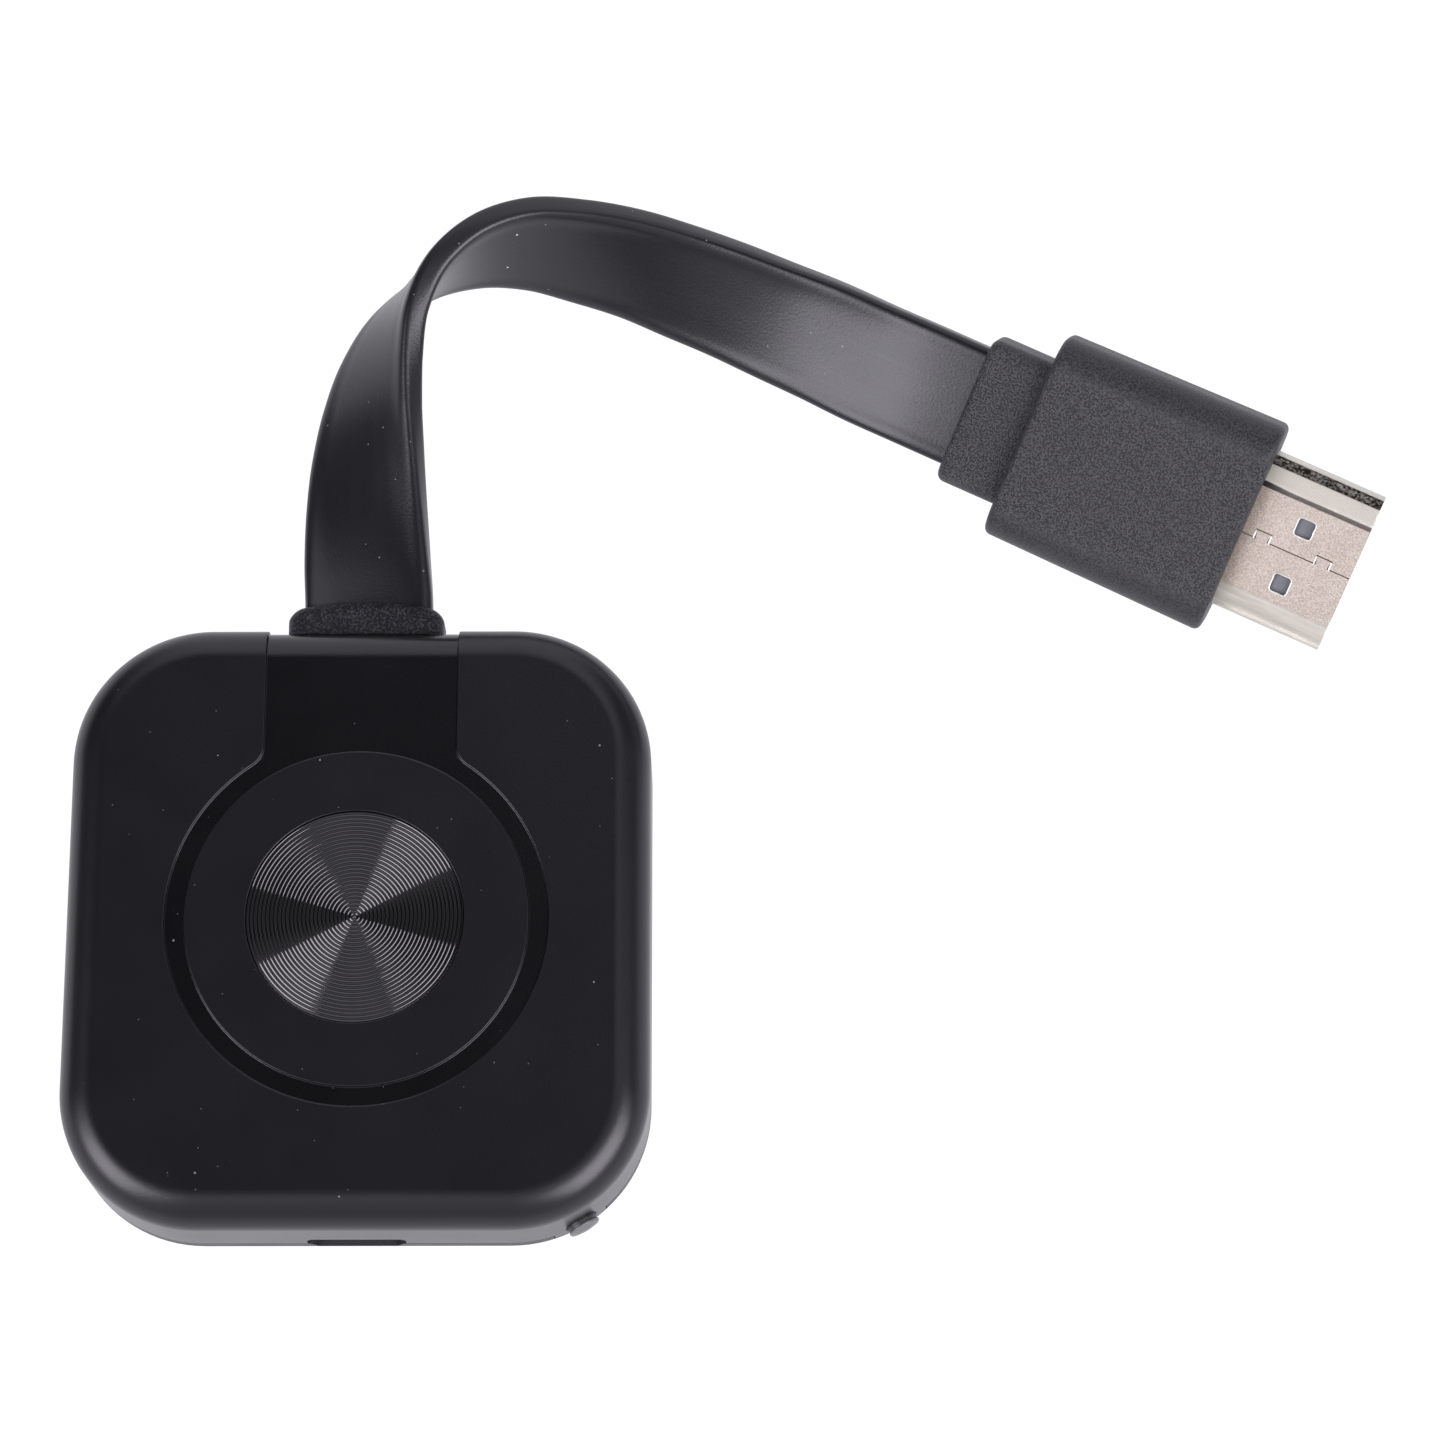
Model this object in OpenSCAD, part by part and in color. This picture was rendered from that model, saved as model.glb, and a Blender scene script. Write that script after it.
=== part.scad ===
// Wireless display adapter: a small flat case with a short flat cable that ends in a display plug.
// Lengths are in millimetres. The origin is on the underside, in the middle of the case.
// X runs to the right, Y from the power port to the cable, Z up through the top cover.

/* [Case] */
// Width of the case, from side to side
case_w = 47.7; // [44:0.1:60]
// Depth of the case, from the port side to the cable side
case_d = 50.3; // [47:0.1:62]
// Height of the case
case_h = 10.2; // [9.8:0.1:13]
// Radius of the case's upright corners
corner_r = 11.4; // [10:0.1:14]
// Rounding of the top edge
top_round = 3.0; // [2:0.1:3.6]
// Rounding of the bottom edge
bottom_round = 0.4; // [0.2:0.05:0.6]
// Thickness of the side wall
case_wall = 1.5; // [1.3:0.05:1.7]
// Thickness of the top cover's ceiling
ceiling_t = 1.3; // [1.1:0.05:1.5]
// Thickness of the bottom cover's floor
floor_t = 1.0; // [0.8:0.05:1.1]
// Height of the bottom cover's rim, up to the parting line
rim_h = 1.5; // [1.3:0.05:1.7]
// Gap between the covers at the parting line
part_gap = 0.1; // [0.05:0.01:0.2]

/* [Top face] */
// Depth of the keyhole recess round the raised disc and along the cable channel
keyhole_depth = 0.25; // [0.15:0.05:0.4]
// Width of the recessed channel
channel_w = 15.8; // [13.6:0.1:18]
// Outer radius of the recessed ring
ring_r = 15.6; // [14.6:0.1:17]
// Radius of the raised disc inside the ring
pod_r = 14.0; // [10:0.1:14.4]
// Radius of the flare where the channel meets the ring
flare_r = 2.0; // [1:0.1:3]
// Radius of the spun metal disc
disc_r = 8.9; // [6:0.1:9.8]
// Thickness of the spun metal disc
disc_t = 0.4; // [0.3:0.05:0.5]
// How far the disc's face lies below the cover's
disc_sink = 0.15; // [0.1:0.05:0.25]

/* [Lip, posts and screws] */
// Height of the inner lip above the parting line
lip_rise = 1.5; // [1:0.1:1.8]
// Thickness of the inner lip
lip_t = 0.8; // [0.6:0.05:1]
// Radius of the snap beads on the lip
bead_r = 0.4; // [0.3:0.05:0.45]
// Length of a snap bead
bead_len = 4; // [2:0.5:6]
// Diameter of the posts that take the screws
screw_post_d = 4; // [3.4:0.1:4.6]
// Diameter of the posts with a locating pin
pin_post_d = 3.4; // [2.8:0.1:4]
// Diameter of the locating pins
pin_d = 1.2; // [0.9:0.05:1.4]
// Diameter of the top cover's hold-down posts
hold_d = 3; // [2.4:0.1:3.4]
// Diameter of the screws' shank
screw_d = 1.4; // [1.2:0.05:1.6]
// Diameter of the screws' head
screw_head_d = 2.6; // [2.3:0.05:3]
// Height of the screws' head
screw_head_h = 0.8; // [0.6:0.05:1]

/* [Circuit board] */
// Thickness of the board
board_t = 1.0; // [0.8:0.05:1.2]
// Distance from the case's outline to the board's edge
board_inset = 2.9; // [2.7:0.05:3.2]
// Distance from the case's back to the board's straight back edge
board_back_gap = 4.55; // [4.2:0.05:5.5]
// Side of the processor, as a share of the board's shorter side
processor_side_share = 0.334; // [0.29:0.002:0.35]
// Thickness of the processor
processor_t = 1.0; // [0.8:0.05:1.2]
// Thickness of the thermal pad
pad_t = 0.6; // [0.4:0.05:0.7]
// Side of the heat sink, as a share of the board's shorter side
sink_side_share = 0.382; // [0.34:0.002:0.4]
// Gap between the heat sink and the ceiling
sink_gap = 0.3; // [0.2:0.05:0.8]
// Number of fins on the heat sink
fin_count = 7; // [4:1:8]
// Width of a memory chip, as a share of the board's width
memory_w_share = 0.215; // [0.19:0.005:0.225]
// Length of a memory chip, as a share of the board's depth
memory_len_share = 0.303; // [0.25:0.001:0.33]
// Side of the wireless module's own board, as a share of the board's shorter side
module_side_share = 0.262; // [0.24:0.002:0.275]

/* [Power port] */
// Width of the port's metal shell
port_w = 7.5; // [7:0.1:8]
// Height of the port's metal shell
port_h = 2.6; // [2.4:0.05:2.7]
// Length of the port's metal shell
port_len = 5.1; // [4.6:0.1:5.6]
// Sheet thickness of the port's shell
port_wall = 0.3; // [0.25:0.05:0.35]
// Height of the port's seat above the underside
port_floor = 0.6; // [0.5:0.05:0.7]
// Width of the opening in the case
slot_w = 8.0; // [7.6:0.1:8.6]
// Height of the opening in the case
slot_h = 3.0; // [2.8:0.05:3.2]

/* [Mode button] */
// Direction of the button round its corner of the case, from the X axis
button_angle = -59.5; // [-64:0.5:-50]
// Height of the button's axis above the underside
button_z = 2.4; // [2.3:0.05:2.6]
// Diameter of the button
button_d = 2.7; // [2.4:0.05:2.9]
// Clearance round the button in its hole
button_gap = 0.08; // [0.05:0.01:0.12]
// How far the button stands out of the case
button_reach = 0.8; // [0.5:0.05:1.2]
// Height of the button's domed face
button_dome = 0.25; // [0.15:0.05:0.35]
// Travel of the button
button_travel = 0.25; // [0.15:0.01:0.3]

/* [Cable] */
// Width of the strain relief outside the case
gland_w = 13.0; // [12.4:0.1:13.4]
// Height of the strain relief outside the case
gland_h = 5.4; // [5.2:0.1:5.8]
// Height of the cable's middle above the underside, where it leaves the case
gland_z = 5.1; // [5.05:0.05:5.2]
// How far the strain relief stands out of the case
gland_reach = 2.85; // [2:0.05:4]
// Rounding of the strain relief's outer end
gland_round = 1.0; // [0.6:0.1:1.2]
// Width of the flat cable
cable_w = 10.7; // [9:0.1:11]
// Thickness of the flat cable at its beaded edges
cable_t = 2.6; // [2:0.1:3]
// Diameter of the insulated wires inside the case
wire_d = 0.7; // [0.5:0.05:0.8]
// Number of insulated wires inside the case
wire_count = 10; // [6:1:10]

/* [Plug] */
// Direction of the plug, from the X axis
plug_turn = -25.5; // [-30:0.5:-20]
// Roll of the plug about its own length
plug_roll = 29.5; // [26:0.5:33]
// Width of the overmould at the metal shell
mould_front_w = 18.7; // [17.6:0.1:19.2]
// Width of the overmould at the cable
mould_back_w = 18.1; // [16.8:0.1:18.7]
// Thickness of the overmould
mould_t = 8.6; // [7.6:0.1:9]
// Length of the overmould
mould_len = 20.4; // [19:0.1:24]
// Radius of the overmould's long edges
mould_r = 3.2; // [2:0.1:3.6]
// Rounding of the overmould's ends
mould_round = 0.6; // [0.3:0.05:0.8]
// Width of the neck between the cable and the overmould
neck_w = 13.0; // [12.4:0.1:14]
// Thickness of the neck
neck_t = 6.0; // [5.2:0.1:6.8]
// Length of the neck
neck_len = 5.5; // [4:0.1:8]
// Radius of the neck's long edges
neck_r = 1.6; // [1:0.1:2]
// Rounding of the neck's end at the cable
neck_round = 0.7; // [0.4:0.05:0.9]
// Width of the metal shell
shell_w = 13.9; // [13.4:0.05:14.2]
// Height of the metal shell
shell_h = 4.45; // [4.2:0.05:4.7]
// How far the metal shell stands out of the overmould
shell_reach = 9.6; // [8.6:0.1:11]
// Sheet thickness of the metal shell
shell_wall = 0.35; // [0.25:0.05:0.4]
// Length of a latch window, along the shell
window_len = 1.45; // [1.2:0.05:2]
// Width of a latch window
window_w = 1.5; // [1.2:0.05:2]
// Width of the slot between the two rows of contacts
mouth_w = 11.4; // [11.2:0.1:11.6]
// Height of the slot between the two rows of contacts
mouth_h = 1.45; // [1.2:0.05:1.6]

/* [Hidden] */

// Circles take this many steps, and the slices of a blended body fewer
$fn = 48;
slice_steps = 32;
// Overrun of every cut past the surface that it opens
over = 0.2;
// Clearance of pieces that are moulded or pressed into each other
fit_gap = 0.03;

// Where the corner arcs of the case have their centres
corner_x = case_w / 2 - corner_r;
corner_y = case_d / 2 - corner_r;
cover_z = rim_h + part_gap;
cavity_top = case_h - ceiling_t;
cavity_round = top_round - case_wall;

// Lip of the bottom cover, inside the top cover's wall
lip_gap = 0.1;
lip_inset = case_wall + lip_gap;
lip_back = lip_inset + lip_t;
lip_top = rim_h + lip_rise;
bead_proud = 0.3;
bead_inset = lip_inset + bead_r - bead_proud;
bead_z = cover_z + bead_r + lip_gap * 2;
bead_gap = 0.1;
bead_y_share = 0.58;

// Board, hung between the posts and the hold-down posts, with the port below it
board_under = port_floor + port_h;
board_top = board_under + board_t;
board_w = case_w - 2 * board_inset;
board_front = board_inset - case_d / 2;
board_back = case_d / 2 - board_back_gap;
board_d = board_back - board_front;
post_x_share = 0.821;
post_end_share = 0.141;
side_post_share = 0.31;
post_x = post_x_share * board_w / 2;
post_end = post_end_share * board_d;
side_post_y = board_front + side_post_share * board_d;
screw_posts = [[-post_x, board_front + post_end], [post_x, board_back - post_end]];
pin_posts = [[post_x, side_post_y], [-post_x, board_back - post_end]];
pin_gap = 0.1;
hold_gap = 0.1;
screw_gap = 0.03;
screw_hole_gap = 0.15;
screw_foot = 0.5;
screw_len = board_top - floor_t - screw_foot;
recess_w = 0.3;
recess_len = 1.5;
recess_depth = 0.3;

// Room above the board, and the sizes of the larger pieces in it
board_side = min(board_w, board_d);
room_h = cavity_top - board_top;
processor_side = processor_side_share * board_side;
sink_side = sink_side_share * board_side;
sink_h = room_h - processor_t - pad_t - sink_gap;
memory_w = memory_w_share * board_w;
memory_len = memory_len_share * board_d;
module_side = module_side_share * board_side;

// Places on the board, as shares of half its width and of its depth from the front edge
processor_shares = [0, 0.589];
memory_shares = [[0.597, 0.636], [-0.597, 0.636]];
flash_shares = [-0.5, 0.87];
module_shares = [-0.625, 0.323];
power_shares = [0.62, 0.188];
inductor_shares = [[0.62, 0.31], [0.38, 0.31], [0.38, 0.19]];
crystal_shares = [[-0.1, 0.3], [0.13, 0.3]];
cap_row_shares = [0.385, 0.805];
antenna_shares = [-0.93, 0.5];
fin_share = 0.5;
sink_base_share = 0.3;
memory_t = 0.9;
flash_side_share = 0.125;
flash_side = flash_side_share * board_side;
flash_h = 1.6;
lead_w = 0.4;
lead_len = 1.1;
lead_t = 0.2;
lead_pitch_share = 0.243;
module_t = 0.8;
shield_side_share = 0.88;
shield_h = 1.3;
shield_wall = 0.2;
power_side_share = 0.095;
power_t = 0.9;
inductor_side_share = 0.095;
inductor_h_share = 0.425;
inductor_r = 0.6;
crystal_len_share = 0.076;
crystal_w_share = 0.06;
crystal_h = 0.7;
cap_len = 1.6;
cap_w = 0.8;
cap_h = 0.8;
cap_count = 6;
cap_pitch_share = 0.048;
antenna_len_share = 0.327;
antenna_h_share = 0.64;
antenna_len = antenna_len_share * board_d;
antenna_h = antenna_h_share * room_h;
antenna_bar = 0.9;
antenna_leg = 0.8;
antenna_t = 0.25;
antenna_feed = 2.4;

// Port, its opening in the covers and the seat behind it
slot_lip = 0.4;
slot_flat_share = 0.8;
port_gap = 0.2;
port_set_back = 0.55;
port_z = port_floor + port_h / 2;
port_front = port_set_back - case_d / 2;
port_back = port_front + port_len;
port_bevel_w = 0.85;
port_bevel_h = 1.0;
tongue_w = 3.6;
tongue_t = 0.6;
tongue_set_back = 0.5;
tongue_block = 1.0;
contact_count = 5;
contact_pitch = 0.65;
contact_w = 0.3;
contact_t = 0.12;
contact_set_back = 0.3;
contact_tail = 0.5;
tongue_z = port_z;

// Button and switch, in a frame that turns with the button's direction
wall_in = corner_r - case_wall;
flange_gap = 0.1;
flange_t = 0.7;
flange_w = 4.4;
flange_out = wall_in - flange_gap;
flange_in = flange_out - flange_t;
flange_low = floor_t + flange_gap;
flange_top = board_top + flange_gap;
flange_half = asin(flange_w / 2 / flange_out);
nub_d = 1.4;
nub_len = 0.6;
nub_in = flange_in - nub_len;
skirt_w = 4.8;
skirt_z = 0.5;
skirt_gap = 0.08;
skirt_half = asin(skirt_w / 2 / corner_r);
notch_half = asin((skirt_w / 2 + skirt_gap) / corner_r);
flange_room = 0.6;
room_half = asin((flange_w / 2 + flange_room) / flange_out);
plunger_len = 1.2;
plunger_w = 1.6;
plunger_h = 0.8;
plunger_gap = 0.1;
switch_w = 4.6;
switch_len = 3.1;
switch_h = 1.6;
switch_front = nub_in - plunger_len / 2 + plunger_gap;
switch_pocket = switch_front - nub_in + plunger_len + button_travel + plunger_gap;
plate_t = 0.15;

// Strain relief: outside block, neck through the wall, flange inside
gland_r = 1.5;
gland_seat = case_d / 2 - keyhole_depth;
gland_end = case_d / 2 + gland_reach;
gland_neck_w = 11.6;
gland_neck_h = 4.8;
gland_flange_w = 13.6;
gland_flange_h = 5.6;
gland_flange_t = 1.5;
gland_flange_gap = 0.25;
gland_gap = 0.1;
tab_gap = 0.05;
gland_flange_y = case_d / 2 - case_wall - gland_flange_gap;
gland_inner = gland_flange_y - gland_flange_t;
wire_end_gap = 3.1;
wire_pitch = 0.95;

// Flat cable: points along its middle, with Y from the strain relief's end, each with its twist
// in degrees
cable_route = [[0.1, 0, 5.1, 0], [-0.2, 4.4, 4.7, 10], [-0.4, 8.9, 4.4, 20],
    [-0.4, 13.4, 4.4, 30], [-0.1, 17.9, 4.6, 41], [0.7, 22.3, 5.0, 52], [2.3, 26.5, 5.5, 65],
    [5.1, 30, 5.7, 79], [9.0, 32.2, 5.6, 94], [13.4, 32.9, 5.4, 107], [17.8, 32.3, 5.1, 116],
    [22.2, 31.2, 4.9, 122], [26.4, 29.6, 4.8, 128], [30.5, 27.8, 5.0, 132],
    [34.5, 25.8, 5.3, 137], [38.5, 23.7, 5.9, 143], [42.4, 21.5, 6.4, 148],
    [46.3, 19.4, 7.0, 150], [50.3, 17.4, 7.2, 150.5]];
route_last = len(cable_route) - 1;
bead_w = 0.6;
bead_slope_w = 0.8;
bead_drop = 0.2;
bead_flat_share = 0.54;

// Plug, along its own X from the cable to the tip, with zero at the overmould's front face
plug_dir = [cos(plug_turn), sin(plug_turn), 0];
plug_back = mould_len + neck_len;
slice_t = 0.02;
inner_w = 14.6;
inner_t = 5.6;
inner_r = 1.2;
inner_back = 17;
shell_root = 5;
window_s = 4.68;
window_v = 2.55;
pocket_depth = 0.5;
insulator_set_back = 0.6;
mouth_depth = 8;
pin_pitch = 1.0;
pin_w = 0.35;
pin_t = 0.25;
pin_proud = 0.15;
pin_set_back = 0.8;
top_pins = 10;
low_pins = 9;
// Right half of the shell's outline, as shares of half its width and half its height
shell_shares = [[0.637, 1], [0.698, 0.9], [0.885, 0.27], [0.914, 0.2], [0.964, 0.157],
    [0.993, 0.09], [1, 0.02], [1, -0.854], [0.95, -1]];

// Place on the board for a pair of shares
function on_board(p) = [p[0] * board_w / 2, board_front + p[1] * board_d];

// Rectangle with true arcs at its corners
module rounded_rect(w, d, r) {
    square([w - 2 * r, d], center = true);
    square([w, d - 2 * r], center = true);
    for (sx = [-1, 1], sy = [-1, 1])
        translate([sx * (w / 2 - r), sy * (d / 2 - r)])
            circle(r);
}

// Cross-section of a block's edge, with its top and bottom corners rounded
module edge_profile(run, h, top_f, bottom_f) {
    difference() {
        square([run, h]);
        if (top_f > 0)
            translate([run - top_f, h - top_f])
                difference() {
                    square(top_f + over);
                    circle(top_f);
                }
        if (bottom_f > 0)
            translate([run - bottom_f, bottom_f])
                mirror([0, 1])
                    difference() {
                        square(bottom_f + over);
                        circle(bottom_f);
                    }
    }
}

// Block with upright corner arcs and rounded top and bottom edges
module rounded_block(w, d, r, h, top_f, bottom_f) {
    x = w / 2 - r;
    y = d / 2 - r;
    starts = [[x, y], [-x, y], [-x, -y], [x, -y]];
    for (q = [0:3])
        translate(starts[q]) {
            rotate([0, 0, 90 * q])
                rotate_extrude(angle = 90)
                    edge_profile(r, h, top_f, bottom_f);
            rotate([90, 0, 90 * q])
                linear_extrude(q % 2 == 0 ? 2 * y : 2 * x)
                    edge_profile(r, h, top_f, bottom_f);
        }
    translate([-x, -y, 0])
        cube([2 * x, 2 * y, h]);
}

// The case's outline drawn in by an inset, as a block from z to z plus h
module case_slab(inset, z, h) {
    translate([0, 0, z])
        linear_extrude(h)
            rounded_rect(case_w - 2 * inset, case_d - 2 * inset, corner_r - inset);
}

// Box that stands on a plane, centred in X and Y
module standing_box(w, d, h) {
    translate([-w / 2, -d / 2, 0])
        cube([w, d, h]);
}

// Ring, channel and flares of the keyhole recess
module keyhole_shape() {
    flare_x = channel_w / 2 + flare_r;
    flare_y = sqrt(pow(ring_r + flare_r, 2) - pow(flare_x, 2));
    circle(ring_r);
    translate([-channel_w / 2, 0])
        square([channel_w, case_d / 2 + over]);
    for (s = [0, 1])
        mirror([s, 0])
            difference() {
                polygon([[0, 0], [flare_x, flare_y], [0, flare_y]]);
                translate([flare_x, flare_y])
                    circle(flare_r);
            }
}

// What the keyhole takes off the case: everything outside a slightly smaller case
module keyhole_cut() {
    difference() {
        linear_extrude(case_h + over)
            keyhole_shape();
        cylinder(r = pod_r, h = case_h + 2 * over);
        rounded_block(case_w - 2 * keyhole_depth, case_d - 2 * keyhole_depth,
            corner_r - keyhole_depth, case_h - keyhole_depth, top_round - keyhole_depth, 0);
    }
}

// Mouth of the power port, a slot with pointed ends
module port_mouth() {
    flat = slot_w / 2 * slot_flat_share;
    translate([0, slot_lip + over - case_d / 2, port_z])
        rotate([90, 0, 0])
            linear_extrude(slot_lip + 2 * over)
                polygon([[slot_w / 2, 0], [flat, slot_h / 2], [-flat, slot_h / 2],
                    [-slot_w / 2, 0], [-flat, -slot_h / 2], [flat, -slot_h / 2]]);
}

// Room for the port's shell behind the mouth, from the seat up to z_top
module port_room(z_top) {
    translate([-port_w / 2 - port_gap, slot_lip - case_d / 2, port_floor])
        cube([port_w + 2 * port_gap, port_len + 2 * port_gap, z_top - port_floor]);
}

// Frame of the mode button: X runs out through the wall
module at_button() {
    translate([corner_x, -corner_y, 0])
        rotate([0, 0, button_angle])
            children();
}

// Part of a ring round the corner's centre, in the button's frame
module button_sector(r_in, r_out, half, z_low, z_high) {
    rotate([0, 0, -half])
        rotate_extrude(angle = 2 * half)
            translate([r_in, z_low])
                square([r_out - r_in, z_high - z_low]);
}

// Everything below the parting line but the skirt round the button
module below_cover() {
    difference() {
        case_slab(-over, skirt_z - over, cover_z - skirt_z + over);
        at_button()
            button_sector(wall_in - over, corner_r + 2 * over, skirt_half, 0, cover_z + over);
    }
}

// Snap beads of the lip, or with a clearance the grooves that take them
module snap_beads(gap) {
    for (sx = [-1, 1], sy = [-1, 1])
        translate([sx * (case_w / 2 - bead_inset), sy * bead_y_share * corner_y, bead_z])
            rotate([90, 0, 0])
                translate([0, 0, -bead_len / 2 - gap])
                    cylinder(r = bead_r + gap, h = bead_len + 2 * gap);
}

module top_cover() {
    color("#202023")
    difference() {
        union() {
            difference() {
                translate([0, 0, skirt_z])
                    rounded_block(case_w, case_d, corner_r, case_h - skirt_z, top_round, 0);
                rounded_block(case_w - 2 * case_wall, case_d - 2 * case_wall, wall_in,
                    cavity_top, cavity_round, 0);
                below_cover();
            }
            for (p = pin_posts)
                translate([p[0], p[1], board_top + hold_gap])
                    cylinder(d = hold_d, h = cavity_top + over - board_top - hold_gap);
        }
        keyhole_cut();
        translate([0, 0, case_h - disc_sink - disc_t])
            cylinder(r = disc_r + fit_gap, h = disc_sink + disc_t + over);
        port_mouth();
        port_room(port_floor + port_h + port_gap);
        translate([-gland_neck_w / 2 - gland_gap, case_d / 2 - case_wall - over, rim_h - over])
            cube([gland_neck_w + 2 * gland_gap, case_wall + 2 * over,
                gland_z + gland_neck_h / 2 + gland_gap - rim_h + over]);
        at_button()
            translate([wall_in - over, 0, button_z])
                rotate([0, 90, 0])
                    cylinder(d = button_d + 2 * button_gap, h = case_wall + 2 * over);
        snap_beads(bead_gap);
    }
}

module spun_disc() {
    color("#8a8a8f")
    translate([0, 0, case_h - disc_sink - disc_t])
        cylinder(r = disc_r, h = disc_t);
}

module bottom_cover() {
    color("#2b2b2e")
    difference() {
        union() {
            difference() {
                rounded_block(case_w, case_d, corner_r, rim_h, 0, bottom_round);
                case_slab(lip_back, floor_t, rim_h);
            }
            difference() {
                case_slab(lip_inset, rim_h - over, lip_top - rim_h + over);
                case_slab(lip_back, floor_t, lip_top);
                translate([-gland_flange_w / 2 - 2 * gland_gap, 0, rim_h])
                    cube([gland_flange_w + 4 * gland_gap, case_d, lip_top]);
            }
            snap_beads(0);
            translate([-gland_neck_w / 2, case_d / 2 - case_wall, rim_h - over])
                cube([gland_neck_w, case_wall - keyhole_depth,
                    gland_z - gland_neck_h / 2 - tab_gap - rim_h + over]);
            for (p = screw_posts)
                translate([p[0], p[1], floor_t / 2])
                    cylinder(d = screw_post_d, h = board_under - floor_t / 2);
            for (p = pin_posts)
                translate([p[0], p[1], floor_t / 2]) {
                    cylinder(d = pin_post_d, h = board_under - floor_t / 2);
                    cylinder(d = pin_d, h = board_top - floor_t / 2);
                }
        }
        for (p = screw_posts)
            translate([p[0], p[1], floor_t + screw_foot - over])
                cylinder(d = screw_d + 2 * screw_gap, h = board_under);
        port_mouth();
        port_room(lip_top + over);
        at_button() {
            button_sector(wall_in - skirt_gap, corner_r + over, notch_half,
                skirt_z - skirt_gap, lip_top + over);
            button_sector(corner_r - lip_back - over, wall_in + over, room_half,
                floor_t, lip_top + over);
        }
    }
}

module main_board() {
    color("#1f5a3a")
    difference() {
        translate([0, 0, board_under])
            linear_extrude(board_t)
                intersection() {
                    rounded_rect(board_w, case_d - 2 * board_inset, corner_r - board_inset);
                    translate([-board_w / 2, board_front])
                        square([board_w, board_d]);
                }
        for (p = screw_posts)
            translate([p[0], p[1], board_under - over])
                cylinder(d = screw_d + 2 * screw_hole_gap, h = board_t + 2 * over);
        for (p = pin_posts)
            translate([p[0], p[1], board_under - over])
                cylinder(d = pin_d + 2 * pin_gap, h = board_t + 2 * over);
    }
}

module board_screws() {
    color("#b8b8bc")
    for (p = screw_posts)
        translate([p[0], p[1], board_top])
            difference() {
                union() {
                    cylinder(d = screw_head_d, h = screw_head_h);
                    translate([0, 0, -screw_len])
                        cylinder(d = screw_d, h = screw_len + over);
                }
                for (a = [0, 90])
                    rotate([0, 0, a])
                        translate([0, 0, screw_head_h - recess_depth])
                            standing_box(recess_len, recess_w, recess_depth + over);
            }
}

module processor() {
    color("#2c2c30")
    translate([on_board(processor_shares)[0], on_board(processor_shares)[1], board_top])
        standing_box(processor_side, processor_side, processor_t);
}

module thermal_pad() {
    color("#9aa7b0")
    translate([on_board(processor_shares)[0], on_board(processor_shares)[1],
            board_top + processor_t])
        standing_box(processor_side, processor_side, pad_t);
}

module heat_sink() {
    pitch = sink_side / (fin_count - fin_share);
    fin_w = pitch * fin_share;
    color("#c4c6c9")
    translate([on_board(processor_shares)[0], on_board(processor_shares)[1],
            board_top + processor_t + pad_t]) {
        standing_box(sink_side, sink_side, sink_h * sink_base_share);
        for (i = [0:fin_count - 1])
            translate([-sink_side / 2 + i * pitch, -sink_side / 2, 0])
                cube([fin_w, sink_side, sink_h]);
    }
}

module memory_chips() {
    color("#303035")
    for (p = memory_shares)
        translate([on_board(p)[0], on_board(p)[1], board_top])
            standing_box(memory_w, memory_len, memory_t);
}

module flash_chip() {
    color("#303035")
    translate([on_board(flash_shares)[0], on_board(flash_shares)[1], board_top]) {
        translate([0, 0, lead_t])
            standing_box(flash_side, flash_side, flash_h - lead_t);
        for (s = [-1, 1], i = [-1.5:1.5])
            translate([s * flash_side / 2, i * lead_pitch_share * flash_side, 0])
                standing_box(2 * lead_len, lead_w, 2 * lead_t);
    }
}

module wireless_module() {
    color("#1d4d7a")
    translate([on_board(module_shares)[0], on_board(module_shares)[1], board_top])
        standing_box(module_side, module_side, module_t);
}

module module_shield() {
    side = module_side * shield_side_share;
    color("#c9cbce")
    translate([on_board(module_shares)[0], on_board(module_shares)[1], board_top + module_t])
        difference() {
            standing_box(side, side, shield_h);
            translate([0, 0, -over])
                standing_box(side - 2 * shield_wall, side - 2 * shield_wall,
                    shield_h - shield_wall + over);
        }
}

module antenna() {
    color("#d8c48a")
    translate([on_board(antenna_shares)[0], on_board(antenna_shares)[1], board_top])
        rotate([90, 0, 90])
            translate([-antenna_len / 2, 0, -antenna_t / 2])
                linear_extrude(antenna_t) {
                    translate([0, antenna_h - antenna_bar])
                        square([antenna_len, antenna_bar]);
                    for (x = [0, antenna_feed])
                        translate([x, 0])
                            square([antenna_leg, antenna_h]);
                }
}

module crystals() {
    color("#cfd1d4")
    for (p = crystal_shares)
        translate([on_board(p)[0], on_board(p)[1], board_top])
            standing_box(crystal_len_share * board_side, crystal_w_share * board_side, crystal_h);
}

module inductors() {
    side = inductor_side_share * board_side;
    color("#4a4a4e")
    for (p = inductor_shares)
        translate([on_board(p)[0], on_board(p)[1], board_top])
            linear_extrude(inductor_h_share * room_h)
                rounded_rect(side, side, inductor_r);
}

module capacitors() {
    pitch = cap_pitch_share * board_side;
    color("#b99a6b")
    for (row = cap_row_shares, i = [0:cap_count - 1])
        translate([(i - (cap_count - 1) / 2) * pitch, board_front + row * board_d, board_top])
            standing_box(cap_w, cap_len, cap_h);
}

module power_chip() {
    side = power_side_share * board_side;
    color("#303035")
    translate([on_board(power_shares)[0], on_board(power_shares)[1], board_top])
        standing_box(side, side, power_t);
}

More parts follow.
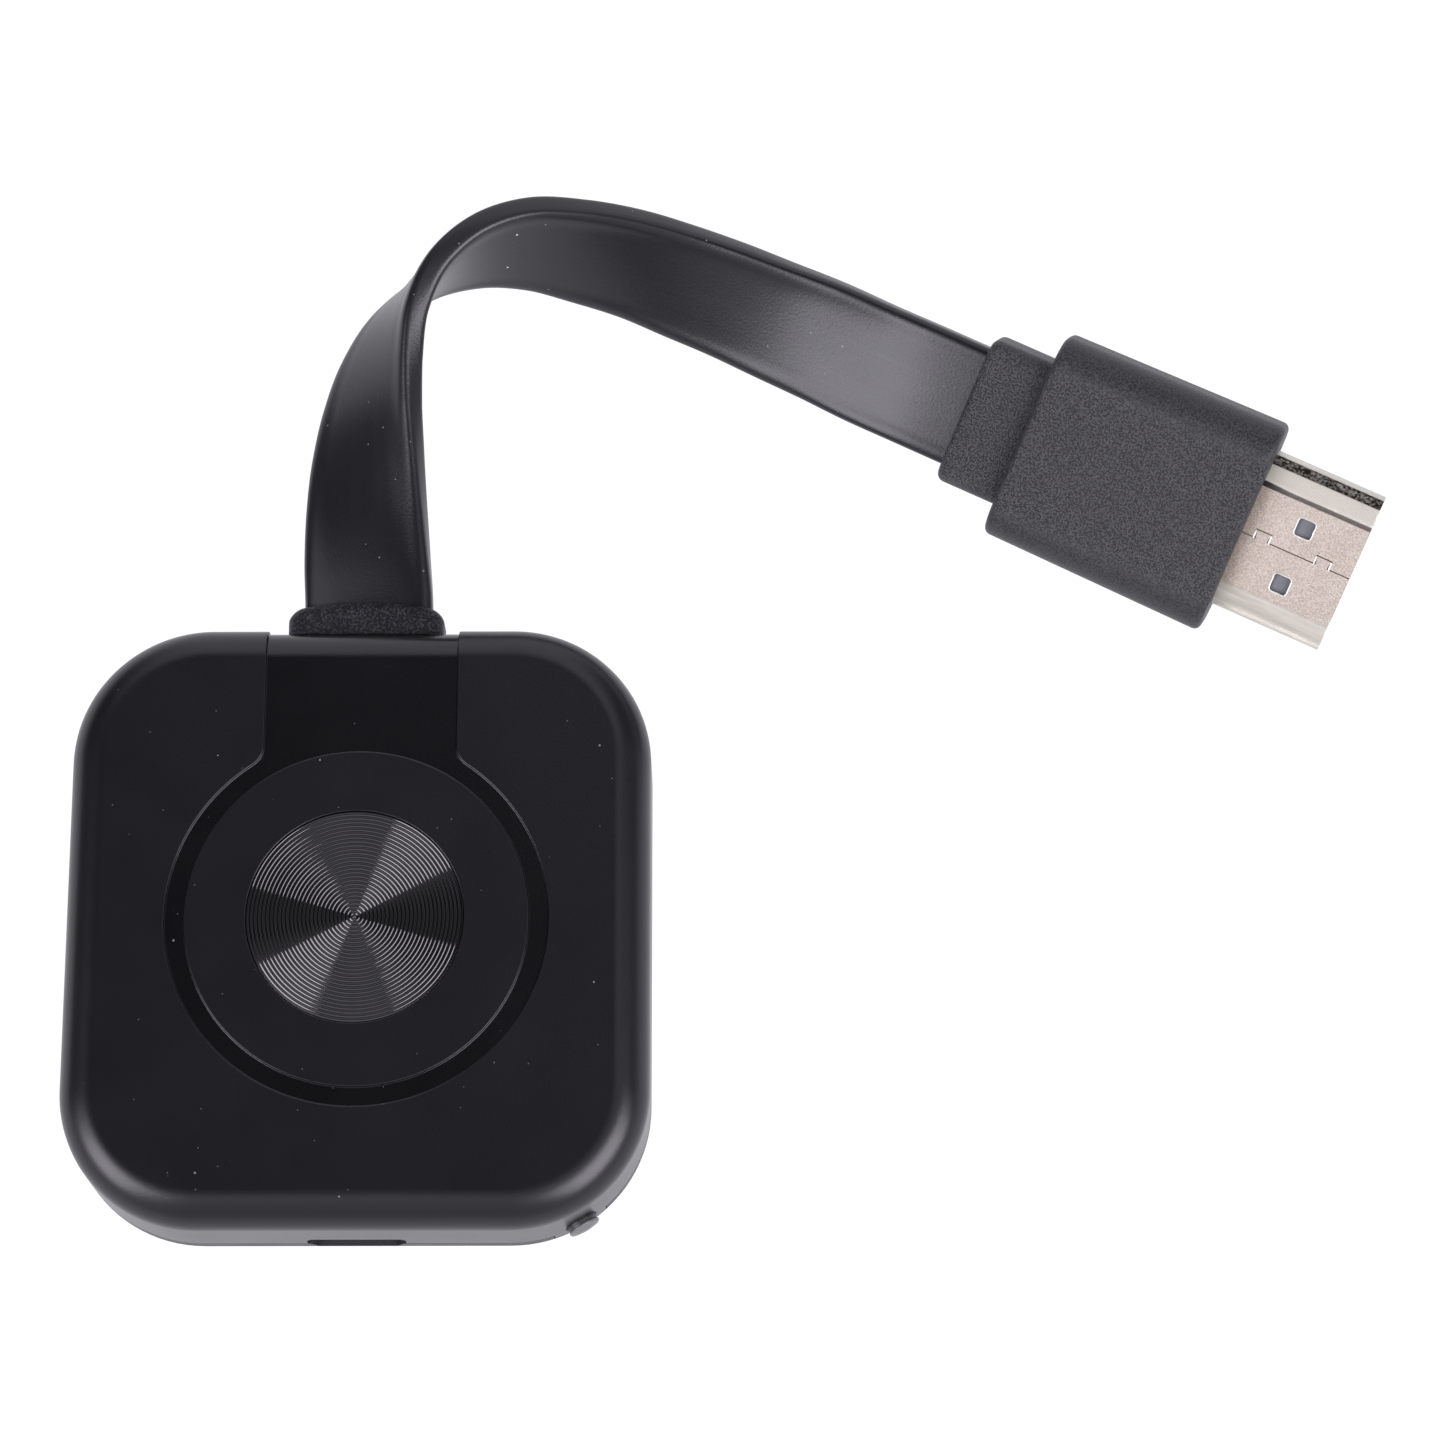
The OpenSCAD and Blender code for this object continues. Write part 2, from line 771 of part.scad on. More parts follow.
// Outline of the port's shell drawn in by an inset: square above, bevelled below
module port_outline(inset) {
    turn = atan(port_bevel_w / port_bevel_h);
    side_in = inset * tan(turn / 2);
    low_in = inset * tan((90 - turn) / 2);
    x = port_w / 2;
    polygon([[x - inset, port_h - inset], [inset - x, port_h - inset],
        [inset - x, port_bevel_h + side_in], [port_bevel_w + low_in - x, inset],
        [x - port_bevel_w - low_in, inset], [x - inset, port_bevel_h + side_in]]);
}

module port_shell() {
    color("#c2c4c8")
    translate([0, port_back, port_floor])
        rotate([90, 0, 0])
            difference() {
                linear_extrude(port_len)
                    port_outline(0);
                translate([0, 0, -over])
                    linear_extrude(port_len + 2 * over)
                        port_outline(port_wall);
            }
}

// Contacts of the port: a strip below the tongue and a tail up to the board
module port_strips(gap) {
    strip_len = port_len - tongue_set_back - contact_set_back + contact_tail;
    for (i = [0:contact_count - 1])
        translate([(i - (contact_count - 1) / 2) * contact_pitch - contact_w / 2 - gap,
                port_front + tongue_set_back + contact_set_back, tongue_z - contact_t - gap])
            cube([contact_w + 2 * gap, strip_len, contact_t + gap]);
}

module port_tongue() {
    color("#28282b")
    difference() {
        union() {
            translate([-tongue_w / 2, port_front + tongue_set_back, tongue_z])
                cube([tongue_w, port_len - tongue_set_back, tongue_t]);
            translate([0, port_back, port_floor])
                rotate([90, 0, 0])
                    linear_extrude(tongue_block)
                        port_outline(port_wall + fit_gap);
        }
        port_strips(fit_gap);
    }
}

module port_contacts() {
    color("#d9b45a")
    union() {
        port_strips(0);
        for (i = [0:contact_count - 1])
            translate([(i - (contact_count - 1) / 2) * contact_pitch - contact_w / 2,
                    port_back + contact_tail - contact_t, tongue_z - contact_t])
                cube([contact_w, contact_t, board_under - tongue_z + contact_t]);
    }
}

module button_cap() {
    tip = corner_r + button_reach;
    dome_r = (pow(button_d / 2, 2) + pow(button_dome, 2)) / (2 * button_dome);
    flange_mid = (flange_in + flange_out) / 2;
    color("#d4d4d2")
    at_button() {
        translate([flange_mid, 0, button_z])
            rotate([0, 90, 0])
                rotate_extrude()
                    intersection() {
                        square([button_d / 2, tip - flange_mid]);
                        translate([0, tip - flange_mid - dome_r])
                            circle(dome_r);
                    }
        button_sector(flange_in, flange_out, flange_half, flange_low, flange_top);
        translate([nub_in, 0, button_z])
            rotate([0, 90, 0])
                cylinder(d = nub_d, h = flange_mid - nub_in);
    }
}

module switch_plunger() {
    color("#ececea")
    at_button()
        translate([nub_in - plunger_len, -plunger_w / 2, button_z - plunger_h / 2])
            cube([plunger_len, plunger_w, plunger_h]);
}

module switch_base() {
    color("#2b2b2e")
    at_button()
        translate([switch_front, 0, board_under])
            difference() {
                translate([-switch_len, -switch_w / 2, -switch_h])
                    cube([switch_len, switch_w, switch_h]);
                translate([-switch_pocket, -plunger_w / 2 - plunger_gap,
                        button_z - board_under - plunger_h / 2 - plunger_gap])
                    cube([switch_pocket + over, plunger_w + 2 * plunger_gap,
                        plunger_h + 2 * plunger_gap]);
            }
}

module switch_cover() {
    color("#c2c4c8")
    at_button()
        translate([switch_front - switch_len, 0, board_under]) {
            translate([0, -switch_w / 2 - plate_t, -switch_h - plate_t])
                cube([switch_len, switch_w + 2 * plate_t, plate_t]);
            for (s = [-1, 1])
                translate([0, s * (switch_w + plate_t) / 2 - plate_t / 2, -switch_h - plate_t])
                    cube([switch_len, plate_t, switch_h + plate_t]);
        }
}

module cable_wires() {
    color("#b5b5ba")
    for (i = [0:wire_count - 1])
        translate([(i - (wire_count - 1) / 2) * wire_pitch, gland_inner, board_top + wire_d / 2])
            rotate([90, 0, 0])
                cylinder(d = wire_d, h = gland_inner - board_back + wire_end_gap);
}

module cable_gland() {
    color("#26262a")
    translate([0, 0, gland_z]) {
        translate([0, gland_seat, 0])
            rotate([-90, 0, 0])
                rounded_block(gland_w, gland_h, gland_r, gland_end - gland_seat, gland_round, 0);
        translate([-gland_neck_w / 2, gland_inner, -gland_neck_h / 2])
            cube([gland_neck_w, gland_seat - gland_inner + over, gland_neck_h]);
        translate([-gland_flange_w / 2, gland_inner, -gland_flange_h / 2])
            cube([gland_flange_w, gland_flange_t, gland_flange_h]);
    }
}

// Frame of the cable at a point of its route
function unit(v) = v / norm(v);
function route_at(i) = [cable_route[i][0], gland_end + cable_route[i][1], cable_route[i][2]];
function tangent_at(i) = i == 0 ? [0, 1, 0]
    : i == route_last ? plug_dir
    : unit(route_at(i + 1) - route_at(i - 1));
function level_at(i) = unit(cross(tangent_at(i), [0, 0, 1]));
function rise_at(i) = cross(level_at(i), tangent_at(i));
function width_at(i) = cos(cable_route[i][3]) * level_at(i) + sin(cable_route[i][3]) * rise_at(i);
function face_at(i) = cos(cable_route[i][3]) * rise_at(i) - sin(cable_route[i][3]) * level_at(i);

// Dog-bone section: a web between two beaded edges
function bead_points() = [[cable_w / 2, cable_t / 2 * bead_flat_share],
    [cable_w / 2 - bead_w, cable_t / 2],
    [cable_w / 2 - bead_w - bead_slope_w, cable_t / 2 - bead_drop]];
function cable_section() = concat(
    bead_points(),
    [for (i = [2:-1:0]) [-bead_points()[i][0], bead_points()[i][1]]],
    [for (i = [0:2]) [-bead_points()[i][0], -bead_points()[i][1]]],
    [for (i = [2:-1:0]) [bead_points()[i][0], -bead_points()[i][1]]]);

module flat_cable() {
    section = cable_section();
    n = len(section);
    points = [for (i = [0:route_last]) for (p = section)
        route_at(i) + p[0] * width_at(i) + p[1] * face_at(i)];
    first_cap = [[for (k = [n - 1:-1:0]) k]];
    last_cap = [[for (k = [0:n - 1]) route_last * n + k]];
    sides = [for (i = [0:route_last - 1]) for (k = [0:n - 1]) for (half = [0, 1])
        let (a = i * n + k, b = i * n + (k + 1) % n)
        half == 0 ? [a, b, b + n] : [a, b + n, a + n]];
    color("#333338")
    polyhedron(points = points, faces = concat(first_cap, sides, last_cap));
}

// Frame of the plug: X runs out of the cable's end towards the tip
module at_plug() {
    translate(route_at(route_last) + plug_back * plug_dir)
        rotate([plug_roll, 0, plug_turn])
            children();
}

// Block along the plug's X, from x_back to x_front, its back end rounded
module plug_block(w, t, r, x_back, x_front, back_f) {
    translate([x_front, 0, 0])
        rotate([90, 0, -90])
            rounded_block(w, t, r, x_front - x_back, back_f, 0);
}

module plug_neck() {
    color("#46464b")
    at_plug()
        plug_block(neck_w, neck_t, neck_r, -plug_back, -mould_len, neck_round);
}

// One thin slice of the overmould, drawn in by an inset
module mould_slice(x, inset) {
    w = mould_back_w + (mould_front_w - mould_back_w) * (x + mould_len) / mould_len;
    translate([x, 0, 0])
        rotate([90, 0, 90])
            linear_extrude(slice_t)
                rounded_rect(w - 2 * inset, mould_t - 2 * inset, mould_r - inset, $fn = slice_steps);
}

// Outline of the metal shell for a given width and height
function shell_points(w, h) = concat(
    [for (p = shell_shares) [p[0] * w / 2, p[1] * h / 2]],
    [for (i = [len(shell_shares) - 1:-1:0]) [-shell_shares[i][0] * w / 2, shell_shares[i][1] * h / 2]]);

// Prism with the shell's outline between two places along the plug
module shell_prism(x_back, x_front, grow) {
    translate([x_back, 0, 0])
        rotate([90, 0, 90])
            linear_extrude(x_front - x_back)
                polygon(shell_points(shell_w + 2 * grow, shell_h + 2 * grow));
}

module plug_overmould() {
    color("#4c4c51")
    at_plug()
        difference() {
            hull()
                for (a = [0:30:90]) {
                    mould_slice(mould_round * (sin(a) - 1) - slice_t, mould_round * (1 - cos(a)));
                    mould_slice(mould_round * (1 - sin(a)) - mould_len, mould_round * (1 - cos(a)));
                }
            plug_block(inner_w + 2 * fit_gap, inner_t + 2 * fit_gap, inner_r,
                -inner_back - fit_gap, -shell_root, 0);
            shell_prism(-shell_root - over, over, fit_gap);
        }
}

module plug_inner_mould() {
    color("#d8d2c0")
    at_plug()
        plug_block(inner_w, inner_t, inner_r, -inner_back, -shell_root, 0);
}

// Latch windows, cut through both wide faces of the shell or sunk into the insulator
module windows(h_low, h_high, gap) {
    for (s = [-1, 1])
        translate([window_s - window_len / 2 - gap, s * window_v - window_w / 2 - gap, h_low])
            cube([window_len + 2 * gap, window_w + 2 * gap, h_high - h_low]);
}

module plug_shell() {
    color("#cbb9a6")
    at_plug()
        difference() {
            shell_prism(-shell_root, shell_reach, 0);
            shell_prism(-shell_root - over, shell_reach + over, -shell_wall);
            windows(-shell_h, shell_h, 0);
        }
}

// Two rows of contacts on the faces of the plug's mouth
module contact_rows(gap) {
    for (row = [[1, top_pins], [-1, low_pins]], i = [0:row[1] - 1])
        translate([-shell_root, (i - (row[1] - 1) / 2) * pin_pitch - pin_w / 2 - gap,
                row[0] * (mouth_h / 2 - pin_proud + pin_t / 2) - pin_t / 2 - gap])
            cube([shell_root + shell_reach - insulator_set_back - pin_set_back,
                pin_w + 2 * gap, pin_t + 2 * gap]);
}

module plug_insulator() {
    front = shell_reach - insulator_set_back;
    seat = shell_h / 2 - shell_wall;
    color("#8f93a3")
    at_plug()
        difference() {
            shell_prism(-shell_root, front, -shell_wall - fit_gap);
            translate([front - mouth_depth, -mouth_w / 2, -mouth_h / 2])
                cube([mouth_depth + over, mouth_w, mouth_h]);
            contact_rows(fit_gap);
            windows(seat - pocket_depth, seat + over, 0);
            windows(-seat - over, pocket_depth - seat, 0);
        }
}

module plug_contacts() {
    color("#d9b45a")
    at_plug()
        contact_rows(0);
}

top_cover();
spun_disc();
bottom_cover();
main_board();
board_screws();
processor();
thermal_pad();
heat_sink();
memory_chips();
flash_chip();
wireless_module();
module_shield();
antenna();
crystals();
inductors();
capacitors();
power_chip();
port_shell();
port_tongue();
port_contacts();
button_cap();
switch_base();
switch_plunger();
switch_cover();
cable_wires();
cable_gland();
flat_cable();
plug_neck();
plug_overmould();
plug_inner_mould();
plug_shell();
plug_insulator();
plug_contacts();
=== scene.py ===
"""Wireless display adapter: a small flat case, a short flat cable and a display plug.

Lengths in the tables are millimetres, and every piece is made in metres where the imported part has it.
"""
from math import atan2, cos, degrees, hypot, pi, radians, sin, sqrt

import bmesh
import bpy
from mathutils import Euler, Matrix, Vector


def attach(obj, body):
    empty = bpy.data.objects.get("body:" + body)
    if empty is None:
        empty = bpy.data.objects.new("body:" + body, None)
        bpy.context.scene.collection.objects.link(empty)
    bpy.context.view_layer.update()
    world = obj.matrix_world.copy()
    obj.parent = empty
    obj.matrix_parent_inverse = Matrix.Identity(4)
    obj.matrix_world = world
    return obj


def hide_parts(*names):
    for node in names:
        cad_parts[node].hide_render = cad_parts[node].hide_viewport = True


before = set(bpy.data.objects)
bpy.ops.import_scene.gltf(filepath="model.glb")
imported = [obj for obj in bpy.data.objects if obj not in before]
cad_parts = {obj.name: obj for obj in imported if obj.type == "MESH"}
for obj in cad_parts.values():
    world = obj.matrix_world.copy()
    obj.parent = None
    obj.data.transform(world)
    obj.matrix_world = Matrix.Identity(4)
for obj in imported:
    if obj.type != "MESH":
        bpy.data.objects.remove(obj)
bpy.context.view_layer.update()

bl_info = {
    "name": "Wireless display adapter",
    "version": (1, 0, 0),
    "blender": (4, 5, 0),
    "location": "3D View > Sidebar > Adapter",
    "description": "Makes the pieces, the finishes and the stage of a wireless display adapter",
    "category": "Add Mesh",
}

MM = 0.001

# Middle of the flat cable: place and twist in degrees at even steps
CABLE_ROUTE = [
    (0.1, 28.0, 5.1, 0), (-0.2, 32.4, 4.7, 10), (-0.4, 36.9, 4.4, 20), (-0.4, 41.4, 4.4, 30),
    (-0.1, 45.9, 4.6, 41), (0.7, 50.3, 5.0, 52), (2.3, 54.5, 5.5, 65), (5.1, 58.0, 5.7, 79),
    (9.0, 60.2, 5.6, 94), (13.4, 60.9, 5.4, 107), (17.8, 60.3, 5.1, 116), (22.2, 59.2, 4.9, 122),
    (26.4, 57.6, 4.8, 128), (30.5, 55.8, 5.0, 132), (34.5, 53.8, 5.3, 137), (38.5, 51.7, 5.9, 143),
    (42.4, 49.5, 6.4, 148), (46.3, 47.4, 7.0, 150), (50.3, 45.4, 7.2, 150.5),
]
# A quarter of the cable's section, from the middle of its edge to the middle of its face
CABLE_QUARTER = [
    (5.35, 0), (5.35, 0.45), (5.31, 0.7), (5.23, 0.88), (5.1, 1.01), (4.93, 1.09), (4.72, 1.135),
    (4.5, 1.15), (4.25, 1.14), (4.0, 1.115), (3.7, 1.095), (3.2, 1.09), (2.5, 1.1), (0, 1.1),
]
# The plug shell's latch windows: places along and across the plug, size along and across, and corners
WINDOW_ALONG, WINDOW_ACROSS, WINDOW_SHIFT = 4.59, 2.55, -0.23
WINDOW_SIZE, WINDOW_CORNER = (1.45, 1.5), 0.24
# The seam's tabs: their middles along the plug, and one tab's outline about its middle
SEAM_TABS = (1.64, 7.08)
SEAM_TAB = [(-0.55, 0), (-0.68, 0.72), (0.68, 0.72), (0.55, 0)]
# Right half of the metal shell's outline, as shares of half its width and half its height
SHELL_SHARES = [
    (0.637, 1), (0.698, 0.9), (0.885, 0.27), (0.914, 0.2), (0.964, 0.157), (0.993, 0.09),
    (1, 0.02), (1, -0.854), (0.95, -1),
]
# Edge of the mode button's face: how far in from its side and down from its tip
BUTTON_EDGE = [
    (0, 0.66), (0.06, 0.6), (0.07, 0.48), (0.02, 0.42), (0, 0.36), (0.01, 0.29), (0.05, 0.23),
    (0.12, 0.18), (0.22, 0.16), (0.32, 0.15), (0.6, 0.08), (0.95, 0.03),
]
# Outline of the power port's mouth in the cover
PORT_MOUTH = [
    (4.0, -0.8), (4.0, 0.9), (3.6, 1.4), (-3.6, 1.4), (-4.0, 0.9), (-4.0, -0.8), (-3.2, -1.5), (3.2, -1.5),
]
# Rooms cut out of the cover for the power port and the strain relief: size, and the middle of the foot
COVER_ROOMS = {"port_room": ((7.9, 5.5, 3.4), (0, -22.0, 0)), "relief_room": ((11.8, 3, 7), (0, 25.0, 0.6))}
# Soft boxes: name, direction round the object, tilt from upright, distance, width, height, brightness
SOFT_BOXES = [
    ("soft_box_left", 207, 50, 0.9, 0.46, 0.64, 6.6),
    ("soft_box_right", 328, 49, 0.9, 0.69, 0.62, 6.5),
]


def mm(*values):
    """Millimetres in metres."""
    return tuple(value * MM for value in values)


def shades(tone, *shares):
    """A colour made lighter or darker by each share."""
    return [tuple(channel * share for channel in tone) for share in shares]


def length(name, about, value, least=0.0):
    """A length, or a place along an axis, in a property group, given in millimetres."""
    return bpy.props.FloatProperty(
        name=name, description=about, default=value * MM, min=least, unit="LENGTH", precision=5
    )


def angle(name, about, value):
    """An angle in a property group, given in degrees."""
    return bpy.props.FloatProperty(name=name, description=about, default=radians(value), subtype="ANGLE")


def colour(name, about, value):
    """A colour in a property group."""
    return bpy.props.FloatVectorProperty(
        name=name, description=about, default=value, size=3, min=0, max=1, subtype="COLOR"
    )


class CaseSizes(bpy.types.PropertyGroup):
    width: length("Width", "Width of the case from side to side", 47.7)
    depth: length("Depth", "Depth of the case from the port to the cable", 50.3)
    height: length("Height", "Height of the case", 10.2)
    corner: length("Corner radius", "Radius of the upright corners", 11.4)
    top_edge: length("Top edge", "Rounding of the top edge", 3.0)
    wall: length("Wall", "Thickness of the wall", 1.5)
    ceiling: length("Ceiling", "Thickness of the top cover over the board", 1.3)
    parting: length("Parting height", "Height where the top cover starts", 1.6)
    recess: length("Recess depth", "Depth of the ring and channel in the top face", 0.25)
    channel: length("Channel width", "Width of the channel towards the cable", 15.8)
    ring: length("Ring radius", "Outer radius of the recessed ring", 15.6)
    pod: length("Raised disc radius", "Radius of the raised disc inside the ring", 14.0)
    flare: length("Flare radius", "Radius where the channel meets the ring", 2.0)
    rim: length("Rim softness", "Rounding of the rims of the recess", 0.09)
    button_turn: angle("Button turn", "Direction in which the mode button faces", -59.5)
    button_high: length("Button height", "Height of the mode button's middle", 2.4)
    button_radius: length("Button radius", "Radius of the mode button", 1.35)
    button_reach: length("Button reach", "How far the mode button stands out of the corner", 0.8)


class DiscSizes(bpy.types.PropertyGroup):
    radius: length("Radius", "Radius of the spun disc", 8.83)
    middle_x: length("Middle X", "Place of the disc's middle", -0.13, -1)
    middle_y: length("Middle Y", "Place of the disc's middle", 0.1, -1)
    thickness: length("Thickness", "Thickness of the spun disc", 0.4)
    sink: length("Sink", "How far the disc lies below the top face", 0.15)
    groove: length("Groove depth", "Depth of a turned groove", 0.052)
    grooves: bpy.props.IntProperty(
        name="Grooves", description="Number of turned grooves", default=27, min=5, max=60
    )


class PlugSizes(bpy.types.PropertyGroup):
    nose_x: length("Nose X", "Place of the grip's front face", 73.677)
    nose_y: length("Nose Y", "Place of the grip's front face", 34.25)
    nose_z: length("Nose height", "Height of the plug's middle", 7.2)
    turn: angle("Turn", "Direction of the plug from the X axis", -25.5)
    roll: angle("Roll", "Roll of the plug about its own length", 29.5)
    grip_width: length("Grip width", "Width of the grip at the metal shell", 18.7)
    grip_back: length("Grip back width", "Width of the grip at the collar", 18.1)
    grip_thick: length("Grip thickness", "Thickness of the grip", 8.6)
    grip_length: length("Grip length", "Length of the grip", 20.0)
    collar_width: length("Collar width", "Width of the collar at the cable", 13.0)
    collar_thick: length("Collar thickness", "Thickness of the collar", 6.0)
    collar_length: length("Collar length", "Length of the collar", 5.5)
    shell_width: length("Shell width", "Width of the metal shell", 13.9)
    shell_height: length("Shell height", "Height of the metal shell", 4.45)
    shell_reach: length("Shell reach", "How far the metal shell stands out of the grip", 9.6)
    shell_sheet: length("Shell sheet", "Sheet thickness of the metal shell", 0.35)


class Colours(bpy.types.PropertyGroup):
    cover: colour("Cover", "Matte plastic of the top cover", (0.0006, 0.0005, 0.0013))
    recess: colour("Recess", "Smoother plastic in the ring and channel", (0.0002, 0.0002, 0.0005))
    disc: colour("Disc", "Black anodised metal of the spun disc", (0.072, 0.07, 0.072))
    cable: colour("Cable", "Smooth jacket of the flat cable", (0.0045, 0.0043, 0.006))
    relief: colour("Strain relief", "Grained rubber of the strain relief", (0.003, 0.0028, 0.0038))
    grip: colour("Grip", "Grained plastic of the grip and collar", (0.0103, 0.0101, 0.0109))
    shell: colour("Shell", "Nickel of the plug's shell", (0.392, 0.353, 0.318))
    core: colour("Plug core", "Plastic inside the plug's shell", (0.112, 0.114, 0.132))
    button: colour("Button", "Plastic of the mode button", (0.075, 0.074, 0.077))


class Wire:
    """A value in a material, on which arithmetic adds Math nodes."""

    def __init__(self, paint, socket):
        self.paint, self.socket = paint, socket

    def maths(self, operation, *values):
        return self.paint.node("ShaderNodeMath", {"operation": operation}, dict(enumerate(values)))

    def __add__(self, other):
        return self.maths("ADD", self, other)

    __radd__ = __add__

    def __sub__(self, other):
        return self.maths("SUBTRACT", self, other)

    def __rsub__(self, other):
        return self.maths("SUBTRACT", other, self)

    def __mul__(self, other):
        return self.maths("MULTIPLY", self, other)

    __rmul__ = __mul__

    def __truediv__(self, other):
        return self.maths("DIVIDE", self, other)

    def __pow__(self, other):
        return self.maths("POWER", self, other)

    def __gt__(self, other):
        return self.maths("GREATER_THAN", self, other)

    def __lt__(self, other):
        return self.maths("LESS_THAN", self, other)

    def __abs__(self):
        return self.maths("ABSOLUTE", self)

    def most(self, other):
        return self.maths("MAXIMUM", self, other)

    def ease(self, low, high):
        """0 below low, 1 above high and smooth between."""
        span = {"Value": self, "From Min": low, "From Max": high}
        return self.paint.node("ShaderNodeMapRange", {"interpolation_type": "SMOOTHSTEP"}, span)


class Paint:
    """A material or the surroundings, the one method that adds its nodes, and the scene's colours."""

    def __init__(self, name, kind="materials"):
        self.material = getattr(bpy.data, kind).new(name)
        self.material.use_nodes = True
        self.tree = self.material.node_tree
        self.tree.nodes.clear()
        self.tones = bpy.context.scene.adapter_colours

    def node(self, kind, settings, sockets, output=0):
        node = self.tree.nodes.new(kind)
        for key, value in settings.items():
            setattr(node, key, value)
        for key, value in sockets.items():
            if isinstance(value, Wire):
                self.tree.links.new(value.socket, node.inputs[key])
            else:
                node.inputs[key].default_value = value
        return Wire(self, node.outputs[output]) if node.outputs else None

    def place(self, **mapping):
        """Object coordinates in metres, seen from a frame where a Location, Rotation or Scale is given."""
        here = self.node("ShaderNodeTexCoord", {}, {}, "Object")
        if not mapping:
            return here
        return self.node("ShaderNodeMapping", {"vector_type": "TEXTURE"}, {"Vector": here, **mapping})

    def flow(self, across, along):
        """The cable's own map, across and along it, each stretched."""
        here = self.node("ShaderNodeUVMap", {"uv_map": "flow"}, {})
        return self.node("ShaderNodeMapping", {}, {"Vector": here, "Scale": (across, along, 1)})

    def parts(self, vector):
        """The X, Y and Z of a vector."""
        first = self.node("ShaderNodeSeparateXYZ", {}, {"Vector": vector})
        return [Wire(self, output) for output in first.socket.node.outputs]

    def noise(self, vector, scale, detail=3, rough=0.6):
        spread = {"Vector": vector, "Scale": scale, "Detail": detail, "Roughness": rough}
        return self.node("ShaderNodeTexNoise", {}, spread)

    def cells(self, vector, scale, output="Distance"):
        return self.node("ShaderNodeTexVoronoi", {}, {"Vector": vector, "Scale": scale}, output)

    def mix(self, share, first, second):
        """A colour between two, each a wire or three numbers."""
        first, second = (c if isinstance(c, Wire) else (*c, 1) for c in (first, second))
        return self.node("ShaderNodeMix", {"data_type": "RGBA"}, {0: share, 6: first, 7: second}, 2)

    def bump(self, height, distance, strength, under=None):
        sockets = {"Height": height, "Distance": distance, "Strength": strength}
        if under is not None:
            sockets["Normal"] = under
        return self.node("ShaderNodeBump", {}, sockets)

    def specks(self, vector, scale, share, size):
        """1 on a few tiny specks of dust."""
        chance = self.parts(self.cells(vector, scale, "Color"))[0]
        return (self.cells(vector, scale) < size) * (chance > 1 - share)

    def surface(self, **sockets):
        """Ends the material in one surface shader."""
        names = {key.replace("_", " "): value for key, value in sockets.items()}
        shader = self.node("ShaderNodeBsdfPrincipled", {}, names)
        self.node("ShaderNodeOutputMaterial", {}, {"Surface": shader})
        return self.material


def cover_plastic():
    """Matte plastic of the top cover, darker and smoother in the ring and channel."""
    sizes = bpy.context.scene.adapter_case
    paint = Paint("cover_plastic")
    here = paint.place()
    x, y, z = paint.parts(here)
    out = (x * x + y * y) ** 0.5
    ring = (out > sizes.pod) * (out < sizes.ring)
    channel = (abs(x) < sizes.channel / 2) * (y > 0) * (out > sizes.pod)
    low = ring.most(channel)
    cloud = paint.noise(here, scale=140, rough=0.5)
    top = z > sizes.height - 0.4 * MM
    large, small = paint.specks(here, 350, 0.35, 0.03), paint.specks(here, 760, 0.4, 0.05)
    dust, dust_grey = (large + small * 0.35) * top, (0.3, 0.3, 0.3)
    tone = paint.mix(low, paint.tones.cover, paint.tones.recess)
    return paint.surface(
        Base_Color=paint.mix(dust * 0.5, tone, dust_grey),
        Roughness=0.32 + (cloud - 0.5) * 0.06 - low * 0.08,
        Normal=paint.bump(paint.noise(here, scale=5200), 0.000012, 0.6),
        Specular_Tint=(0.98, 0.97, 1.0, 1.0),
    )


def spun_metal():
    """Dark anodised metal with a fine turned line between the grooves."""
    disc = bpy.context.scene.adapter_disc
    paint = Paint("spun_metal")
    x, y, _ = paint.parts(paint.place(Location=(disc.middle_x, disc.middle_y, 0)))
    out = (x * x + y * y) ** 0.5
    spread = {"W": out, "Scale": 14000, "Detail": 2}
    line = paint.node("ShaderNodeTexNoise", {"noise_dimensions": "1D"}, spread)
    return paint.surface(
        Base_Color=paint.mix((line - 0.5) * 0.8 + 0.3, *shades(paint.tones.disc, 1, 0.62)),
        Metallic=1.0,
        Roughness=0.05 + line * 0.04,
        Normal=paint.bump(line, 0.000003, 0.5),
    )


def cable_jacket():
    """Smooth extruded jacket with faint lines along the cable and a few specks of dust."""
    paint = Paint("cable_jacket")
    here = paint.place()
    drawn = paint.noise(paint.flow(across=2600, along=26), scale=1)
    cloud = paint.noise(paint.flow(across=260, along=60), scale=1, rough=0.5)
    fine = paint.noise(here, scale=4200)
    dust = paint.specks(here, 320, 0.45, 0.04) + paint.specks(here, 800, 0.3, 0.06) * 0.3
    dust_grey = (0.55, 0.55, 0.56)
    return paint.surface(
        Base_Color=paint.mix(dust * 0.8, paint.tones.cable, dust_grey),
        Roughness=0.32 + (cloud - 0.5) * 0.1 + (drawn - 0.5) * 0.05,
        Normal=paint.bump(fine, 0.000016, 0.8, paint.bump(cloud, 0.00004, 0.4)),
        Specular_Tint=(0.98, 0.97, 1.0, 1.0),
    )


def relief_rubber():
    """Coarse grained rubber of the strain relief."""
    paint = Paint("relief_rubber")
    grain = paint.noise(paint.place(), scale=5200)
    return paint.surface(
        Base_Color=paint.mix(grain.ease(0.49, 0.61), *shades(paint.tones.relief, 0.1, 9)),
        Roughness=0.38 + (grain - 0.5) * 0.4,
        Normal=paint.bump(grain, 0.0002, 0.9),
        Specular_IOR_Level=0.2,
    )


